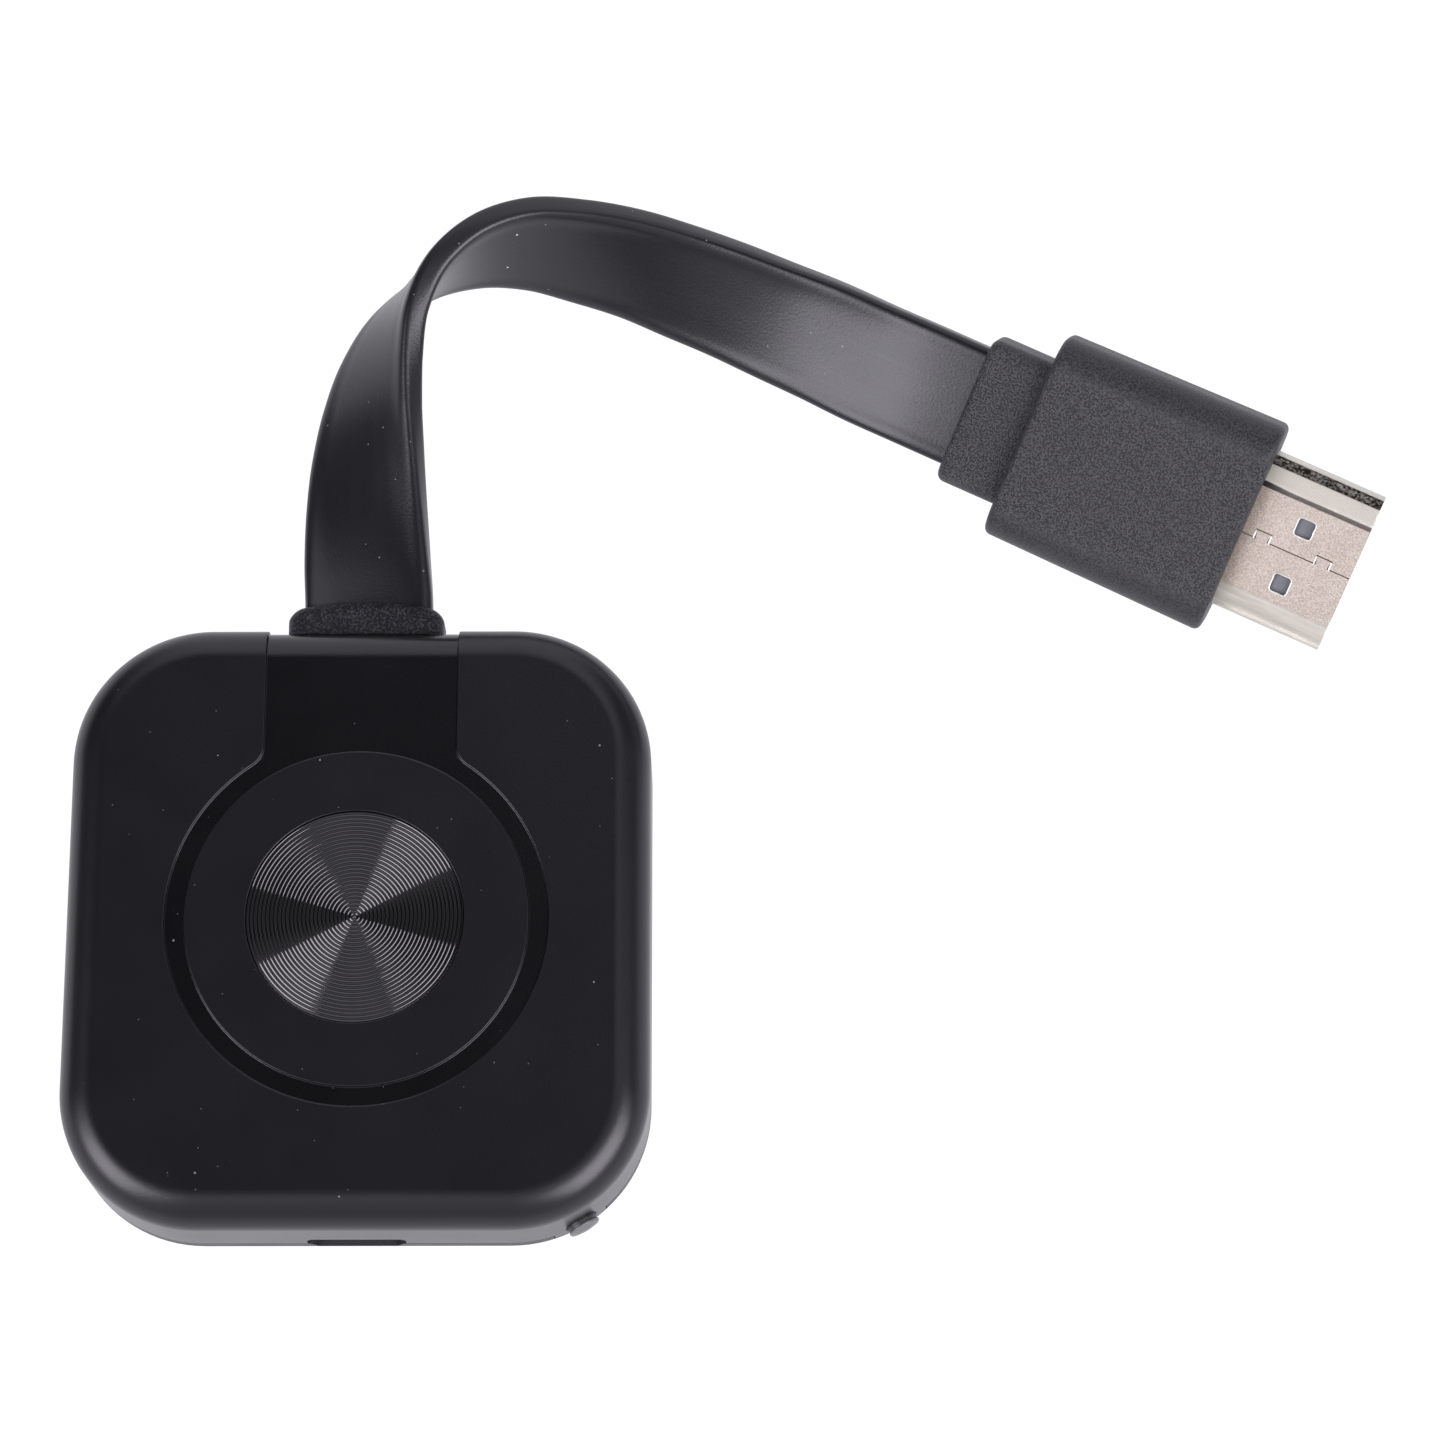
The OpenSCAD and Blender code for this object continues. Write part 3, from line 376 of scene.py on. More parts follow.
def grip_plastic():
    """Grained plastic of the plug's grip, smoother on its rounded long sides."""
    paint = Paint("grip_plastic")
    here = paint.place(**plug_mapping())
    _, across, _ = paint.parts(here)
    side = abs(across).ease(*mm(5.6, 6.8))
    grain = paint.noise(here, scale=6700)
    light = grain.ease(0.46, 0.55) * (1 - side * 0.5)
    return paint.surface(
        Base_Color=paint.mix(light, *shades(paint.tones.grip, 0.02, 4.8)),
        Roughness=0.47 + (grain - 0.5) * 0.5,
        Normal=paint.bump(grain, 0.00022, 0.9 - side * 0.5),
        Specular_Tint=(0.98, 0.97, 1.0, 1.0),
    )


def shell_nickel():
    """Nickel of the plug's shell: sandy grain, tan root, painted highlights on the rims and seam ends, paler
    slopes as painted reflection, and a painted dark reflection on the ledge.
    """
    paint = Paint("shell_nickel")
    here = paint.place(**plug_mapping())
    along, across, up = (part / MM for part in paint.parts(here))
    grain = paint.noise(here, scale=7500, rough=0.65)
    cloud = paint.noise(here, scale=420, detail=4)
    drawn = paint.noise(paint.place(**plug_mapping(), Scale=(8, 1, 1)), scale=1400)
    root = 1 - along.ease(-0.2, 2.6)
    front = abs(up).ease(1.9, 2.1)
    tan = root * 0.3 + (cloud - 0.5) * 0.6 + (grain - 0.5) * 3.0 + 0.38
    tan_tone = tuple(channel * share for channel, share in zip(paint.tones.shell, (0.76, 0.7, 0.63)))
    tone = paint.mix(tan, *shades(paint.tones.shell, 1.16), tan_tone)
    # The sloping sides are smoother, and their paler colour is painted reflection, the upper one the palest
    slope = abs(across).ease(4.3, 4.75)
    pale = paint.mix(drawn.ease(0.35, 0.65), (0.54, 0.515, 0.455), (0.66, 0.625, 0.55))
    upper = (across > 0) * (across < 6.9)
    tone = paint.mix(slope, tone, paint.mix(upper, pale, (0.8, 0.75, 0.66)))
    # A painted shadow lies as a dark line under the upper slope, and brown dirt in the seam
    step_shadow = front * across.ease(4.22, 4.3) * (1 - across.ease(4.58 + root * 0.1, 4.7 + root * 0.12))
    tone = paint.mix(step_shadow * (0.8 + root * 0.2), tone, (0.03, 0.027, 0.027))
    sunk = (abs(up) < 2.18) * (abs(up) > 2.02) * (abs(across) < 4.2)
    tone = paint.mix(sunk * 0.9, tone, (0.1, 0.07, 0.05))
    # Painted dark reflection: a mottled dark band on the upper side's ledge
    ledge = across.ease(5.98, 6.1) * (1 - across.ease(6.78, 6.9)) * up.ease(-0.1, 0.1)
    dark_reflection = ledge * (0.97 + (paint.noise(here, scale=3600, rough=0.7) - 0.55) * 1.2)
    tone = paint.mix(dark_reflection, tone, (0.012, 0.01, 0.009))
    # The windows' rims and the ends of the tabs get painted highlights, brighter on one side
    far, wide = along - WINDOW_ALONG, across - WINDOW_SHIFT
    beside = abs(wide) - WINDOW_ACROSS
    pane = ((abs(far) - 0.45).most(0) ** 2 + (abs(beside) - 0.45).most(0) ** 2) ** 0.5
    lit = 0.6 + (far - beside * ((wide > 0) * 2 - 1)).ease(-0.9, 0.5) * 0.4
    rim = front * pane.ease(0.24, 0.28) * (1 - pane.ease(0.34, 0.4)) * lit
    for tab in SEAM_TABS:
        beyond = abs(along - tab)
        tab_end_highlight = (beyond > 0.62) * (beyond < 0.73) * (across > -0.1) * (across < 0.62)
        rim = rim.most(tab_end_highlight * front * 0.9)
    return paint.surface(
        Base_Color=paint.mix(rim, tone, (0.95, 0.93, 0.9)),
        Metallic=1.0,
        Roughness=0.56 + (grain - 0.5) * 0.24 - rim * 0.2 - slope * 0.08,
        Normal=paint.bump(grain, 0.00006, 0.8),
    )


def button_plastic():
    """Satin plastic of the mode button, with a painted highlight on the lip of its face and painted shade on
    its barrel.
    """
    sizes = bpy.context.scene.adapter_case
    paint = Paint("button_plastic")
    middle = tuple(button_frame(sizes).translation)
    here = paint.place(Location=middle, Rotation=(0, 0, sizes.button_turn))
    along, across, up = paint.parts(here)
    off = (across * across + (up - sizes.button_high) ** 2) ** 0.5
    face = along.ease(sizes.corner + 0.3 * MM, sizes.corner + 0.42 * MM)
    # Painted highlight: the lip of the face is lighter
    lip = face * off.ease(sizes.button_radius - 0.3 * MM, sizes.button_radius - 0.12 * MM)
    fine = paint.noise(here, scale=6000)
    # Painted shade: the barrel is a darker copy of the face's tone
    tone = paint.mix(face, *shades(paint.tones.button, 0.3, 1))
    return paint.surface(
        Base_Color=paint.mix(lip * 0.7 + (fine - 0.5) * 0.3, tone, *shades(paint.tones.button, 1.8)),
        Roughness=0.36 + (fine - 0.5) * 0.1,
        Normal=paint.bump(fine, 0.000008, 0.6),
    )


def moulded(name, tone, roughness, grain=4200, height=0.000015):
    """Plain moulded plastic or epoxy with a fine grain."""
    paint = Paint(name)
    here = paint.place()
    fine, cloud = paint.noise(here, grain), paint.noise(here, scale=260, rough=0.5)
    return paint.surface(
        Base_Color=paint.mix(fine.ease(0.3, 0.8), *shades(tone, 0.85, 1.15)),
        Roughness=roughness + (cloud - 0.5) * 0.12,
        Normal=paint.bump(fine, height, 0.6),
    )


def plated(name, tone, roughness=0.3, drawn=(0.001, 0.03, 0.001)):
    """Sheet metal or plating with fine lines in one direction."""
    paint = Paint(name)
    line = paint.noise(paint.place(Scale=drawn), scale=4)
    cloud = paint.noise(paint.place(), scale=500, rough=0.5)
    return paint.surface(
        Base_Color=paint.mix(cloud, *shades(tone, 0.82, 1)),
        Metallic=1.0,
        Roughness=roughness + (line - 0.5) * 0.2,
        Normal=paint.bump(line, 0.000004, 0.5),
    )


def board_green(name, tone):
    """Circuit board: solder mask over fine tracks and round pads."""
    paint = Paint(name)
    here = paint.place()
    x, _, _ = paint.parts(here)
    wave = x * 900 + paint.noise(here, scale=160, detail=1, rough=0.5) * 6
    crowded = paint.noise(here, scale=90, detail=1, rough=0.5) > 0.5
    track = (wave.maths("PINGPONG", wave, 0.5) > 0.36) * crowded
    pads, gold = paint.cells(here, 620) < 0.16, (0.55, 0.42, 0.18)
    return paint.surface(
        Base_Color=paint.mix(pads, paint.mix(track * 0.8, *shades(tone, 1, 1.7)), gold),
        Roughness=0.34 - pads * 0.08,
        Normal=paint.bump(track + pads, 0.00003, 0.7),
    )


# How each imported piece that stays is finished: what makes its material, its tone and its roughness, and
# the scale and height of its grain or the stretch of its drawn lines
INNER_FINISHES = {
    "bottom_cover": (moulded, (0.012, 0.012, 0.013), 0.46),
    "main_board": (board_green, (0.014, 0.09, 0.045)),
    "board_screws": (plated, (0.55, 0.55, 0.57)),
    "processor": (moulded, (0.02, 0.02, 0.022), 0.5),
    "thermal_pad": (moulded, (0.32, 0.38, 0.43), 0.8, 1800, 0.00006),
    "heat_sink": (plated, (0.68, 0.69, 0.7), 0.36),
    "memory_chips": (moulded, (0.018, 0.018, 0.02), 0.48),
    "flash_chip": (moulded, (0.022, 0.022, 0.023), 0.5),
    "wireless_module": (board_green, (0.012, 0.045, 0.12)),
    "module_shield": (plated, (0.66, 0.67, 0.68), 0.3, (0.03, 0.001, 0.001)),
    "antenna": (plated, (0.7, 0.58, 0.34)),
    "crystals": (plated, (0.7, 0.7, 0.71), 0.26),
    "inductors": (moulded, (0.06, 0.06, 0.065), 0.7, 2600, 0.00003),
    "capacitors": (moulded, (0.42, 0.3, 0.18), 0.42),
    "power_chip": (moulded, (0.02, 0.02, 0.021), 0.5),
    "port_shell": (plated, (0.6, 0.61, 0.63), 0.28),
    "port_tongue": (moulded, (0.02, 0.02, 0.022), 0.42),
    "port_contacts": (plated, (0.86, 0.64, 0.28), 0.24),
    "switch_base": (moulded, (0.02, 0.02, 0.021), 0.5),
    "switch_plunger": (moulded, (0.7, 0.7, 0.68), 0.4),
    "switch_cover": (plated, (0.64, 0.65, 0.66), 0.3),
    "cable_wires": (moulded, (0.4, 0.4, 0.43), 0.4),
    "plug_inner_mould": (moulded, (0.62, 0.58, 0.48), 0.5),
    "plug_contacts": (plated, (0.88, 0.66, 0.3), 0.24, (0.03, 0.001, 0.001)),
}


def alone(piece=None):
    """Leaves edit mode and leaves only this piece selected, or nothing."""
    if bpy.context.object and bpy.context.object.mode != "OBJECT":
        bpy.ops.object.mode_set(mode="OBJECT")
    bpy.ops.object.select_all(action="DESELECT")
    bpy.context.view_layer.objects.active = piece
    if piece:
        piece.select_set(True)


def pick(piece, kind, test):
    """Goes into edit mode with the vertices, edges or faces selected that pass a test."""
    alone(piece)
    bpy.ops.object.mode_set(mode="EDIT")
    bpy.ops.mesh.select_mode(type=kind)
    bpy.ops.mesh.select_all(action="DESELECT")
    mesh = bmesh.from_edit_mesh(piece.data)
    kinds = {"VERT": mesh.verts, "EDGE": mesh.edges, "FACE": mesh.faces}
    found = [item for item in kinds[kind] if test(item)]
    if not found:
        raise RuntimeError(f"{piece.name} has nothing to pick")
    for item in found:
        item.select_set(True)
    mesh.select_flush_mode()
    bmesh.update_edit_mesh(piece.data)


def new_piece(name):
    piece = bpy.context.object
    piece.name = piece.data.name = name
    return piece


def bake_place(piece, moved_by=None):
    """Puts the piece's place, turn and size into its mesh."""
    alone(piece)
    if moved_by is not None:
        piece.matrix_world = moved_by @ piece.matrix_world
    bpy.ops.object.transform_apply(location=True, rotation=True, scale=True)
    return piece


def close_up(piece):
    """Merges points that lie on each other and turns every face outwards."""
    alone(piece)
    bpy.ops.object.mode_set(mode="EDIT")
    bpy.ops.mesh.select_all(action="SELECT")
    bpy.ops.mesh.remove_doubles(threshold=0.0002 * MM)
    bpy.ops.mesh.normals_make_consistent(inside=False)
    alone(piece)


def round_edges(piece, test, radius, steps, clamp=False):
    pick(piece, "EDGE", test)
    bpy.ops.mesh.bevel(offset=radius, segments=steps, profile=0.5, affect="EDGES", clamp_overlap=clamp)
    alone(piece)


def block(name, size, corner=0, steps=0, top=0, top_steps=0, low=0.0):
    """Block that stands at a height, with rounded upright edges and a rounded top edge."""
    alone()
    bpy.ops.mesh.primitive_cube_add(size=1, location=(0, 0, low + size[2] / 2), scale=size)
    piece = bake_place(new_piece(name))
    if corner:
        round_edges(piece, lambda e: abs(e.verts[0].co.z - e.verts[1].co.z) > size[2] / 2, corner, steps)
    if top:
        high = low + size[2]
        round_edges(piece, lambda e: all(v.co.z > high - 0.01 * MM for v in e.verts), top, top_steps)
    return piece


def prism(name, outline, low, high):
    """Upright prism over an outline of points in metres."""
    alone()
    bpy.ops.mesh.primitive_circle_add(vertices=len(outline), radius=0.01, fill_type="NGON")
    piece = new_piece(name)
    for vert, (x, y) in zip(piece.data.vertices, outline):
        vert.co = (x, y, low)
    pick(piece, "FACE", lambda f: True)
    bpy.ops.mesh.extrude_region_move(TRANSFORM_OT_translate={"value": (0, 0, high - low)})
    close_up(piece)
    return piece


def rod(name, radius, low, high, steps):
    """Upright cylinder that cuts a round opening or is added as a stud."""
    alone()
    middle = (0, 0, (low + high) / 2)
    bpy.ops.mesh.primitive_cylinder_add(vertices=steps, radius=radius, depth=high - low, location=middle)
    return bake_place(new_piece(name))


def turned(name, profile, steps):
    """Solid of revolution about Z of a line from the axis out and back to the axis."""
    alone()
    bpy.ops.mesh.primitive_circle_add(vertices=len(profile), radius=0.01, fill_type="NOTHING")
    piece = new_piece(name)
    for vert, (out, z) in zip(piece.data.vertices, profile):
        vert.co = (out, 0, z)
    last = len(profile) - 1
    pick(piece, "EDGE", lambda e: {v.index for v in e.verts} == {0, last})
    bpy.ops.mesh.delete(type="EDGE_FACE")
    bpy.ops.mesh.select_all(action="SELECT")
    bpy.ops.mesh.spin(steps=steps, angle=2 * pi, center=(0, 0, 0), axis=(0, 0, 1))
    close_up(piece)
    return piece


def carve(piece, tool, operation="DIFFERENCE", crossed=False):
    """Cuts a tool off a piece or adds it to the piece."""
    alone(piece)
    cut = piece.modifiers.new("carve", "BOOLEAN")
    cut.operation, cut.object, cut.solver, cut.use_self = operation, tool, "EXACT", crossed
    bpy.ops.object.modifier_apply(modifier=cut.name)
    bpy.data.objects.remove(tool)
    return piece


def soften(piece, width, steps, test):
    """Breaks the sharp edges that pass a test."""
    sharp = radians(35)

    def chosen(edge):
        middle = (edge.verts[0].co + edge.verts[1].co) / 2
        return edge.is_manifold and edge.calc_face_angle(0) > sharp and test(middle)

    round_edges(piece, chosen, width, steps, clamp=True)


def finish_piece(piece, material, node, smooth=34, body="case"):
    """Shades a finished piece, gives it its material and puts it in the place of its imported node."""
    close_up(piece)
    bpy.ops.object.shade_smooth_by_angle(angle=radians(smooth))
    even = piece.modifiers.new("even", "WEIGHTED_NORMAL")
    even.keep_sharp = True
    bpy.ops.object.modifier_apply(modifier=even.name)
    piece.data.materials.clear()
    piece.data.materials.append(material)
    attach(piece, body)
    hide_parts(node)


def arc(middle, radius, start, end, steps):
    """Points of an arc between two angles in degrees."""
    angles = [radians(start + (end - start) * k / steps) for k in range(steps + 1)]
    return [(middle[0] + radius * cos(a), middle[1] + radius * sin(a)) for a in angles]


def ring_sector(name, outer, inner, spread, low, high):
    """Upright slice of a ring, which spreads so many degrees to each side of X."""
    outline = arc((0, 0), outer, -spread, spread, 10) + arc((0, 0), inner, spread, -spread, 10)
    return prism(name, outline, low, high)


def plug_mapping():
    """The grip's front face as the Location and Rotation of a pattern, X towards the tip."""
    sizes = bpy.context.scene.adapter_plug
    return {"Location": (sizes.nose_x, sizes.nose_y, sizes.nose_z), "Rotation": (sizes.roll, 0, sizes.turn)}


def plug_frame():
    """Place of the grip's front face, X towards the tip."""
    place = plug_mapping()
    return Matrix.Translation(place["Location"]) @ Euler(place["Rotation"], "XYZ").to_matrix().to_4x4()


def plug_upright(front):
    """Frame for a block that stands along the plug with its top at the cable's end."""
    turn = Matrix(((0, 0, -1, front), (-1, 0, 0, 0), (0, 1, 0, 0), (0, 0, 0, 1)))
    return plug_frame() @ turn


def along_plug(piece, start):
    """Lays a piece that stands on an outline of across and height along the plug, from start."""
    return bake_place(piece, Matrix(((0, 0, 1, start), (1, 0, 0, 0), (0, 1, 0, 0), (0, 0, 0, 1))))


def button_frame(sizes):
    """Middle of the front right corner's arc, X towards the mode button."""
    corner = Matrix.Translation((sizes.width / 2 - sizes.corner, sizes.corner - sizes.depth / 2, 0))
    return corner @ Matrix.Rotation(sizes.button_turn, 4, "Z")


def button_lie(sizes):
    """Lays an upright solid of revolution along the mode button's axis."""
    return Matrix.Translation((0, 0, sizes.button_high)) @ Matrix.Rotation(radians(90), 4, "Y")


class ADAPTER_OT_camera(bpy.types.Operator):
    """Place the camera in front of and above the adapter"""

    bl_idname = "adapter.camera"
    bl_label = "Camera"

    def execute(self, context):
        place, turn = (0.02975, -0.08834, 0.35631), (16.84, 0.03, -0.09)
        alone()
        bpy.ops.object.camera_add(location=place, rotation=[radians(a) for a in turn])
        camera = bpy.context.object
        camera.data.lens, camera.data.sensor_width = 109.7, 36
        camera.data.clip_start, camera.data.clip_end = 0.01, 20
        context.scene.camera = camera
        return {"FINISHED"}


class ADAPTER_OT_strain_relief(bpy.types.Operator):
    """Make the grained strain relief with its crowned end, its neck and its inner flange"""

    bl_idname = "adapter.strain_relief"
    bl_label = "Strain relief"

    def execute(self, context):
        wide, high, reach, end_fall = mm(13.0, 5.4, 3.1, 0.85)
        relief = block("strain_relief", (wide, high, reach), 1.5 * MM, 8, 1.0 * MM, 7)
        pick(relief, "FACE", lambda f: True)
        for k in range(-11, 12):
            bpy.ops.mesh.select_all(action="SELECT")
            bpy.ops.mesh.bisect(plane_co=(k * 0.5 * MM, 0, 0), plane_no=(1, 0, 0))
        alone(relief)
        for vert in relief.data.vertices:
            if vert.co.z > 0.4 * MM:
                share = (vert.co.x / (wide / 2)) ** 2
                vert.co.z -= end_fall * share * min(1, vert.co.z / (2.6 * MM))
        carve(relief, block("neck", mm(11.6, 4.8, 1.9), low=-1.8 * MM), "UNION")
        carve(relief, block("flange", mm(13.6, 5.6, 1.5), 0.3 * MM, 3, low=-3.0 * MM), "UNION")
        back_wall = Matrix.Translation(mm(0, 24.9, 5.1)) @ Matrix.Rotation(radians(-90), 4, "X")
        finish_piece(bake_place(relief, back_wall), relief_rubber(), "cable_gland")
        return {"FINISHED"}


class ADAPTER_OT_plug_grip(bpy.types.Operator):
    """Make the plug's grained grip and the collar between it and the cable"""

    bl_idname = "adapter.plug_grip"
    bl_label = "Plug grip and collar"

    def execute(self, context):
        sizes = context.scene.adapter_plug
        front, overlap = -0.1 * MM, 0.3 * MM
        grip = block("plug_grip", (sizes.grip_width, sizes.grip_thick, sizes.grip_length), 3.2 * MM, 14)
        pick(grip, "VERT", lambda v: v.co.z > sizes.grip_length / 2)
        bpy.ops.transform.resize(value=(sizes.grip_back / sizes.grip_width, 1, 1))
        alone(grip)
        round_edges(grip, lambda e: abs(e.verts[0].co.z - e.verts[1].co.z) < 0.001 * MM, 0.6 * MM, 5)
        bake_place(grip, plug_upright(front))
        collar_size = (sizes.collar_width, sizes.collar_thick, sizes.collar_length + overlap)
        collar = block("plug_collar", collar_size, 1.6 * MM, 10, 0.7 * MM, 6, -overlap)
        bake_place(collar, plug_upright(front - sizes.grip_length))
        plastic = grip_plastic()
        finish_piece(grip, plastic, "plug_overmould")
        finish_piece(collar, plastic, "plug_neck")
        return {"FINISHED"}


def shell_outline(sizes, inset):
    """The metal shell's outline, drawn in by the inset, with a small radius at each bend."""
    width, height = sizes.shell_width - 2 * inset, sizes.shell_height - 2 * inset
    right = [(x * width / 2, y * height / 2) for x, y in SHELL_SHARES]
    corners = right + [(-x, y) for x, y in reversed(right)]
    points = []
    for k in range(len(corners)):
        here, before, after = (Vector(corners[(k + j) % len(corners)]) for j in (0, -1, 1))
        reach = min(0.22 * MM, 0.4 * (here - before).length, 0.4 * (here - after).length)
        first, last = here + (before - here).normalized() * reach, here + (after - here).normalized() * reach
        for t in (0, 0.33, 0.67, 1):
            points.append(tuple((1 - t) ** 2 * first + 2 * t * (1 - t) * here + t**2 * last))
    return points


def seam_tool(path, wide, low, high):
    """Thin strips along a path, which cut the seam out of a face."""
    strips = []
    for first, last in zip(path, path[1:]):
        a, b = Vector(first), Vector(last)
        ahead = (b - a).normalized() * wide / 2
        side = Vector((-ahead.y, ahead.x))
        corners = [a - ahead + side, a - ahead - side, b + ahead - side, b + ahead + side]
        strips.append(prism("seam", [tuple(c) for c in corners], low, high))
    alone(strips[0])
    for strip in strips:
        strip.select_set(True)
    bpy.ops.object.join()
    return strips[0]


def window_tool(side, deep, steps, low):
    """What cuts a latch window on one side of the plug, or the dip behind it."""
    tool = block("window", (*mm(*WINDOW_SIZE), deep), WINDOW_CORNER * MM, steps, low=low)
    return bake_place(tool, Matrix.Translation(mm(WINDOW_ALONG, WINDOW_SHIFT + side * WINDOW_ACROSS, 0)))


class ADAPTER_OT_plug_shell(bpy.types.Operator):
    """Make the plug's bent metal shell with its latch windows and locked seam, and the core inside it"""

    bl_idname = "adapter.plug_shell"
    bl_label = "Plug shell and core"

    def execute(self, context):
        sizes = context.scene.adapter_plug
        root, over, sheet, high = 5 * MM, 1 * MM, sizes.shell_sheet, sizes.shell_height / 2
        reach = root + sizes.shell_reach
        shell = along_plug(prism("plug_metal", shell_outline(sizes, 0), 0, reach), -root)
        carve(shell, along_plug(prism("inside", shell_outline(sizes, sheet), -over, reach + over), -root))
        for side in (-1, 1):
            carve(shell, window_tool(side, 8 * MM, 5, -4 * MM))
        seam_wide, seam_deep, seam_over = mm(0.1, 0.12, 0.4)
        path = [(-6, 0)] + [(tab + x, y) for tab in SEAM_TABS for x, y in SEAM_TAB] + [(11, 0)]
        for low in (high - seam_deep, -high - seam_over):
            tool = seam_tool([mm(*point) for point in path], seam_wide, low, low + seam_deep + seam_over)
            carve(shell, tool, crossed=True)
        soften(shell, 0.07 * MM, 2, lambda p: p.x > sizes.shell_reach - 0.01 * MM)

        def window_rim(p):
            at_window = abs(p.x - WINDOW_ALONG * MM) < 0.8 * MM and abs(p.y) > 1.4 * MM
            return at_window and abs(abs(p.z) - high) < 0.02 * MM

        soften(shell, 0.1 * MM, 3, window_rim)
        finish_piece(bake_place(shell, plug_frame()), shell_nickel(), "plug_shell")
        fit, mouth_deep, dip_deep, dip = sheet + 0.03 * MM, 8 * MM, 2 * MM, 0.1 * MM
        face = reach - 0.6 * MM
        core = along_plug(prism("plug_core", shell_outline(sizes, fit), 0, face), -root)
        mouth = block("mouth", mm(11.4, 1.45, 8.2), 0.1 * MM, 2)
        carve(core, along_plug(mouth, face - root - mouth_deep))
        for side in (-1, 1):
            for low in (high - fit - dip, fit - high - dip_deep + dip):
                carve(core, window_tool(side, dip_deep, 3, low))
        plastic = moulded("core_plastic", context.scene.adapter_colours.core, 0.42)
        finish_piece(bake_place(core, plug_frame()), plastic, "plug_insulator")
        return {"FINISHED"}


def cable_stations():
    """Place, heading and twist of the cable's sections, on a smooth curve through the route."""
    turn, before, straight, steps = bpy.context.scene.adapter_plug.turn, 4.4 * MM, 0.6 * MM, 9
    ahead = Vector((cos(turn), sin(turn), 0, 0))
    stops = [Vector((x * MM, y * MM, z * MM, radians(twist))) for x, y, z, twist in CABLE_ROUTE]
    stops = [stops[0] - Vector((0, before, 0, 0.17))] + stops + [stops[-1] + ahead * before]
    stations = []
    for k in range(1, len(stops) - 2):
        a, b, c, d = stops[k - 1 : k + 3]
        line, bend, swing = c - a, 2 * a - 5 * b + 4 * c - d, 3 * b - a - 3 * c + d
        for j in range(steps + (k == len(stops) - 3)):
            t = j / steps
            at = 0.5 * (2 * b + line * t + bend * t**2 + swing * t**3)
            go = 0.5 * (line + 2 * bend * t + 3 * swing * t**2)
            stations.append((at.xyz, go.xyz.normalized(), at.w))
    (first, _, first_twist), (last, _, last_twist) = stations[0], stations[-1]
    out, onward = Vector((0, 1, 0)), ahead.xyz
    starts = [(first - out * straight, out, first_twist), (first, out, first_twist)]
    ends = [(last, onward, last_twist), (last + onward * straight, onward, last_twist)]
    return starts + stations[1:-1] + ends


def distances(points):
    """How far along a line each of its points is."""
    far = [0.0]
    for a, b in zip(points, points[1:]):
        far.append(far[-1] + hypot(*(p - q for p, q in zip(a, b))))
    return far


class ADAPTER_OT_flat_cable(bpy.types.Operator):
    """Make the flat cable along its twisting route"""

    bl_idname = "adapter.flat_cable"
    bl_label = "Flat cable"

    def execute(self, context):
        stations = cable_stations()
        quarter = [mm(x, y) for x, y in CABLE_QUARTER]
        half = quarter + [(-x, y) for x, y in reversed(quarter[:-1])]
        section = half + [(x, -y) for x, y in reversed(half[1:-1])]
        middles = [middle for middle, _, _ in stations]
        around, along = distances(section + section[:1]), distances(middles)
        mesh = bmesh.new()
        flow = mesh.loops.layers.uv.new("flow")
        rings = []
        for middle, heading, twist in stations:
            level = heading.cross(Vector((0, 0, 1))).normalized()
            rise = level.cross(heading)
            across, face = cos(twist) * level + sin(twist) * rise, cos(twist) * rise - sin(twist) * level
            rings.append([mesh.verts.new(middle + x * across + y * face) for x, y in section])
        count = len(section)
        for k in range(len(rings) - 1):
            for j in range(count):
                corners = [(k, j), (k, j + 1), (k + 1, j + 1), (k + 1, j)]
                face = mesh.faces.new([rings[a][b % count] for a, b in corners])
                for loop, (a, b) in zip(face.loops, corners):
                    loop[flow].uv = (around[b], along[a])
        mesh.faces.new(rings[0][::-1])
        mesh.faces.new(rings[-1])
        bmesh.ops.recalc_face_normals(mesh, faces=mesh.faces)
        cable = bpy.data.objects.new("flat_ribbon", bpy.data.meshes.new("flat_ribbon"))
        mesh.to_mesh(cable.data)
        mesh.free()
        context.scene.collection.objects.link(cable)
        finish_piece(cable, cable_jacket(), "flat_cable", smooth=60)
        return {"FINISHED"}


def keyhole_cutter(sizes):
    """What the ring, channel and flares take off the cover: all outside a slightly smaller case."""
    over, half, flare_x = 1 * MM, sizes.channel / 2, sizes.channel / 2 + sizes.flare
    flare_y = sqrt((sizes.ring + sizes.flare) ** 2 - flare_x**2)
    meets = degrees(atan2(flare_y, flare_x))
    right = [(half, sizes.depth / 2 + over)]
    right += arc((flare_x, flare_y), sizes.flare, 180, 180 + meets, 10)
    outline = right + arc((0, 0), sizes.ring, meets, -90, 52)[1:]
    outline += [(-x, y) for x, y in reversed(outline[:-1])]
    cutter = prism("keyhole", outline, -over, sizes.height + over)
    carve(cutter, rod("pod", sizes.pod, -2 * over, sizes.height + 2 * over, 120))
    below = 3 * MM
    inner_size = (
        sizes.width - 2 * sizes.recess, sizes.depth - 2 * sizes.recess, sizes.height - sizes.recess + below
    )
    inner_corner, inner_top = sizes.corner - sizes.recess, sizes.top_edge - sizes.recess
    return carve(cutter, block("inner", inner_size, inner_corner, 40, inner_top, 12, -below))


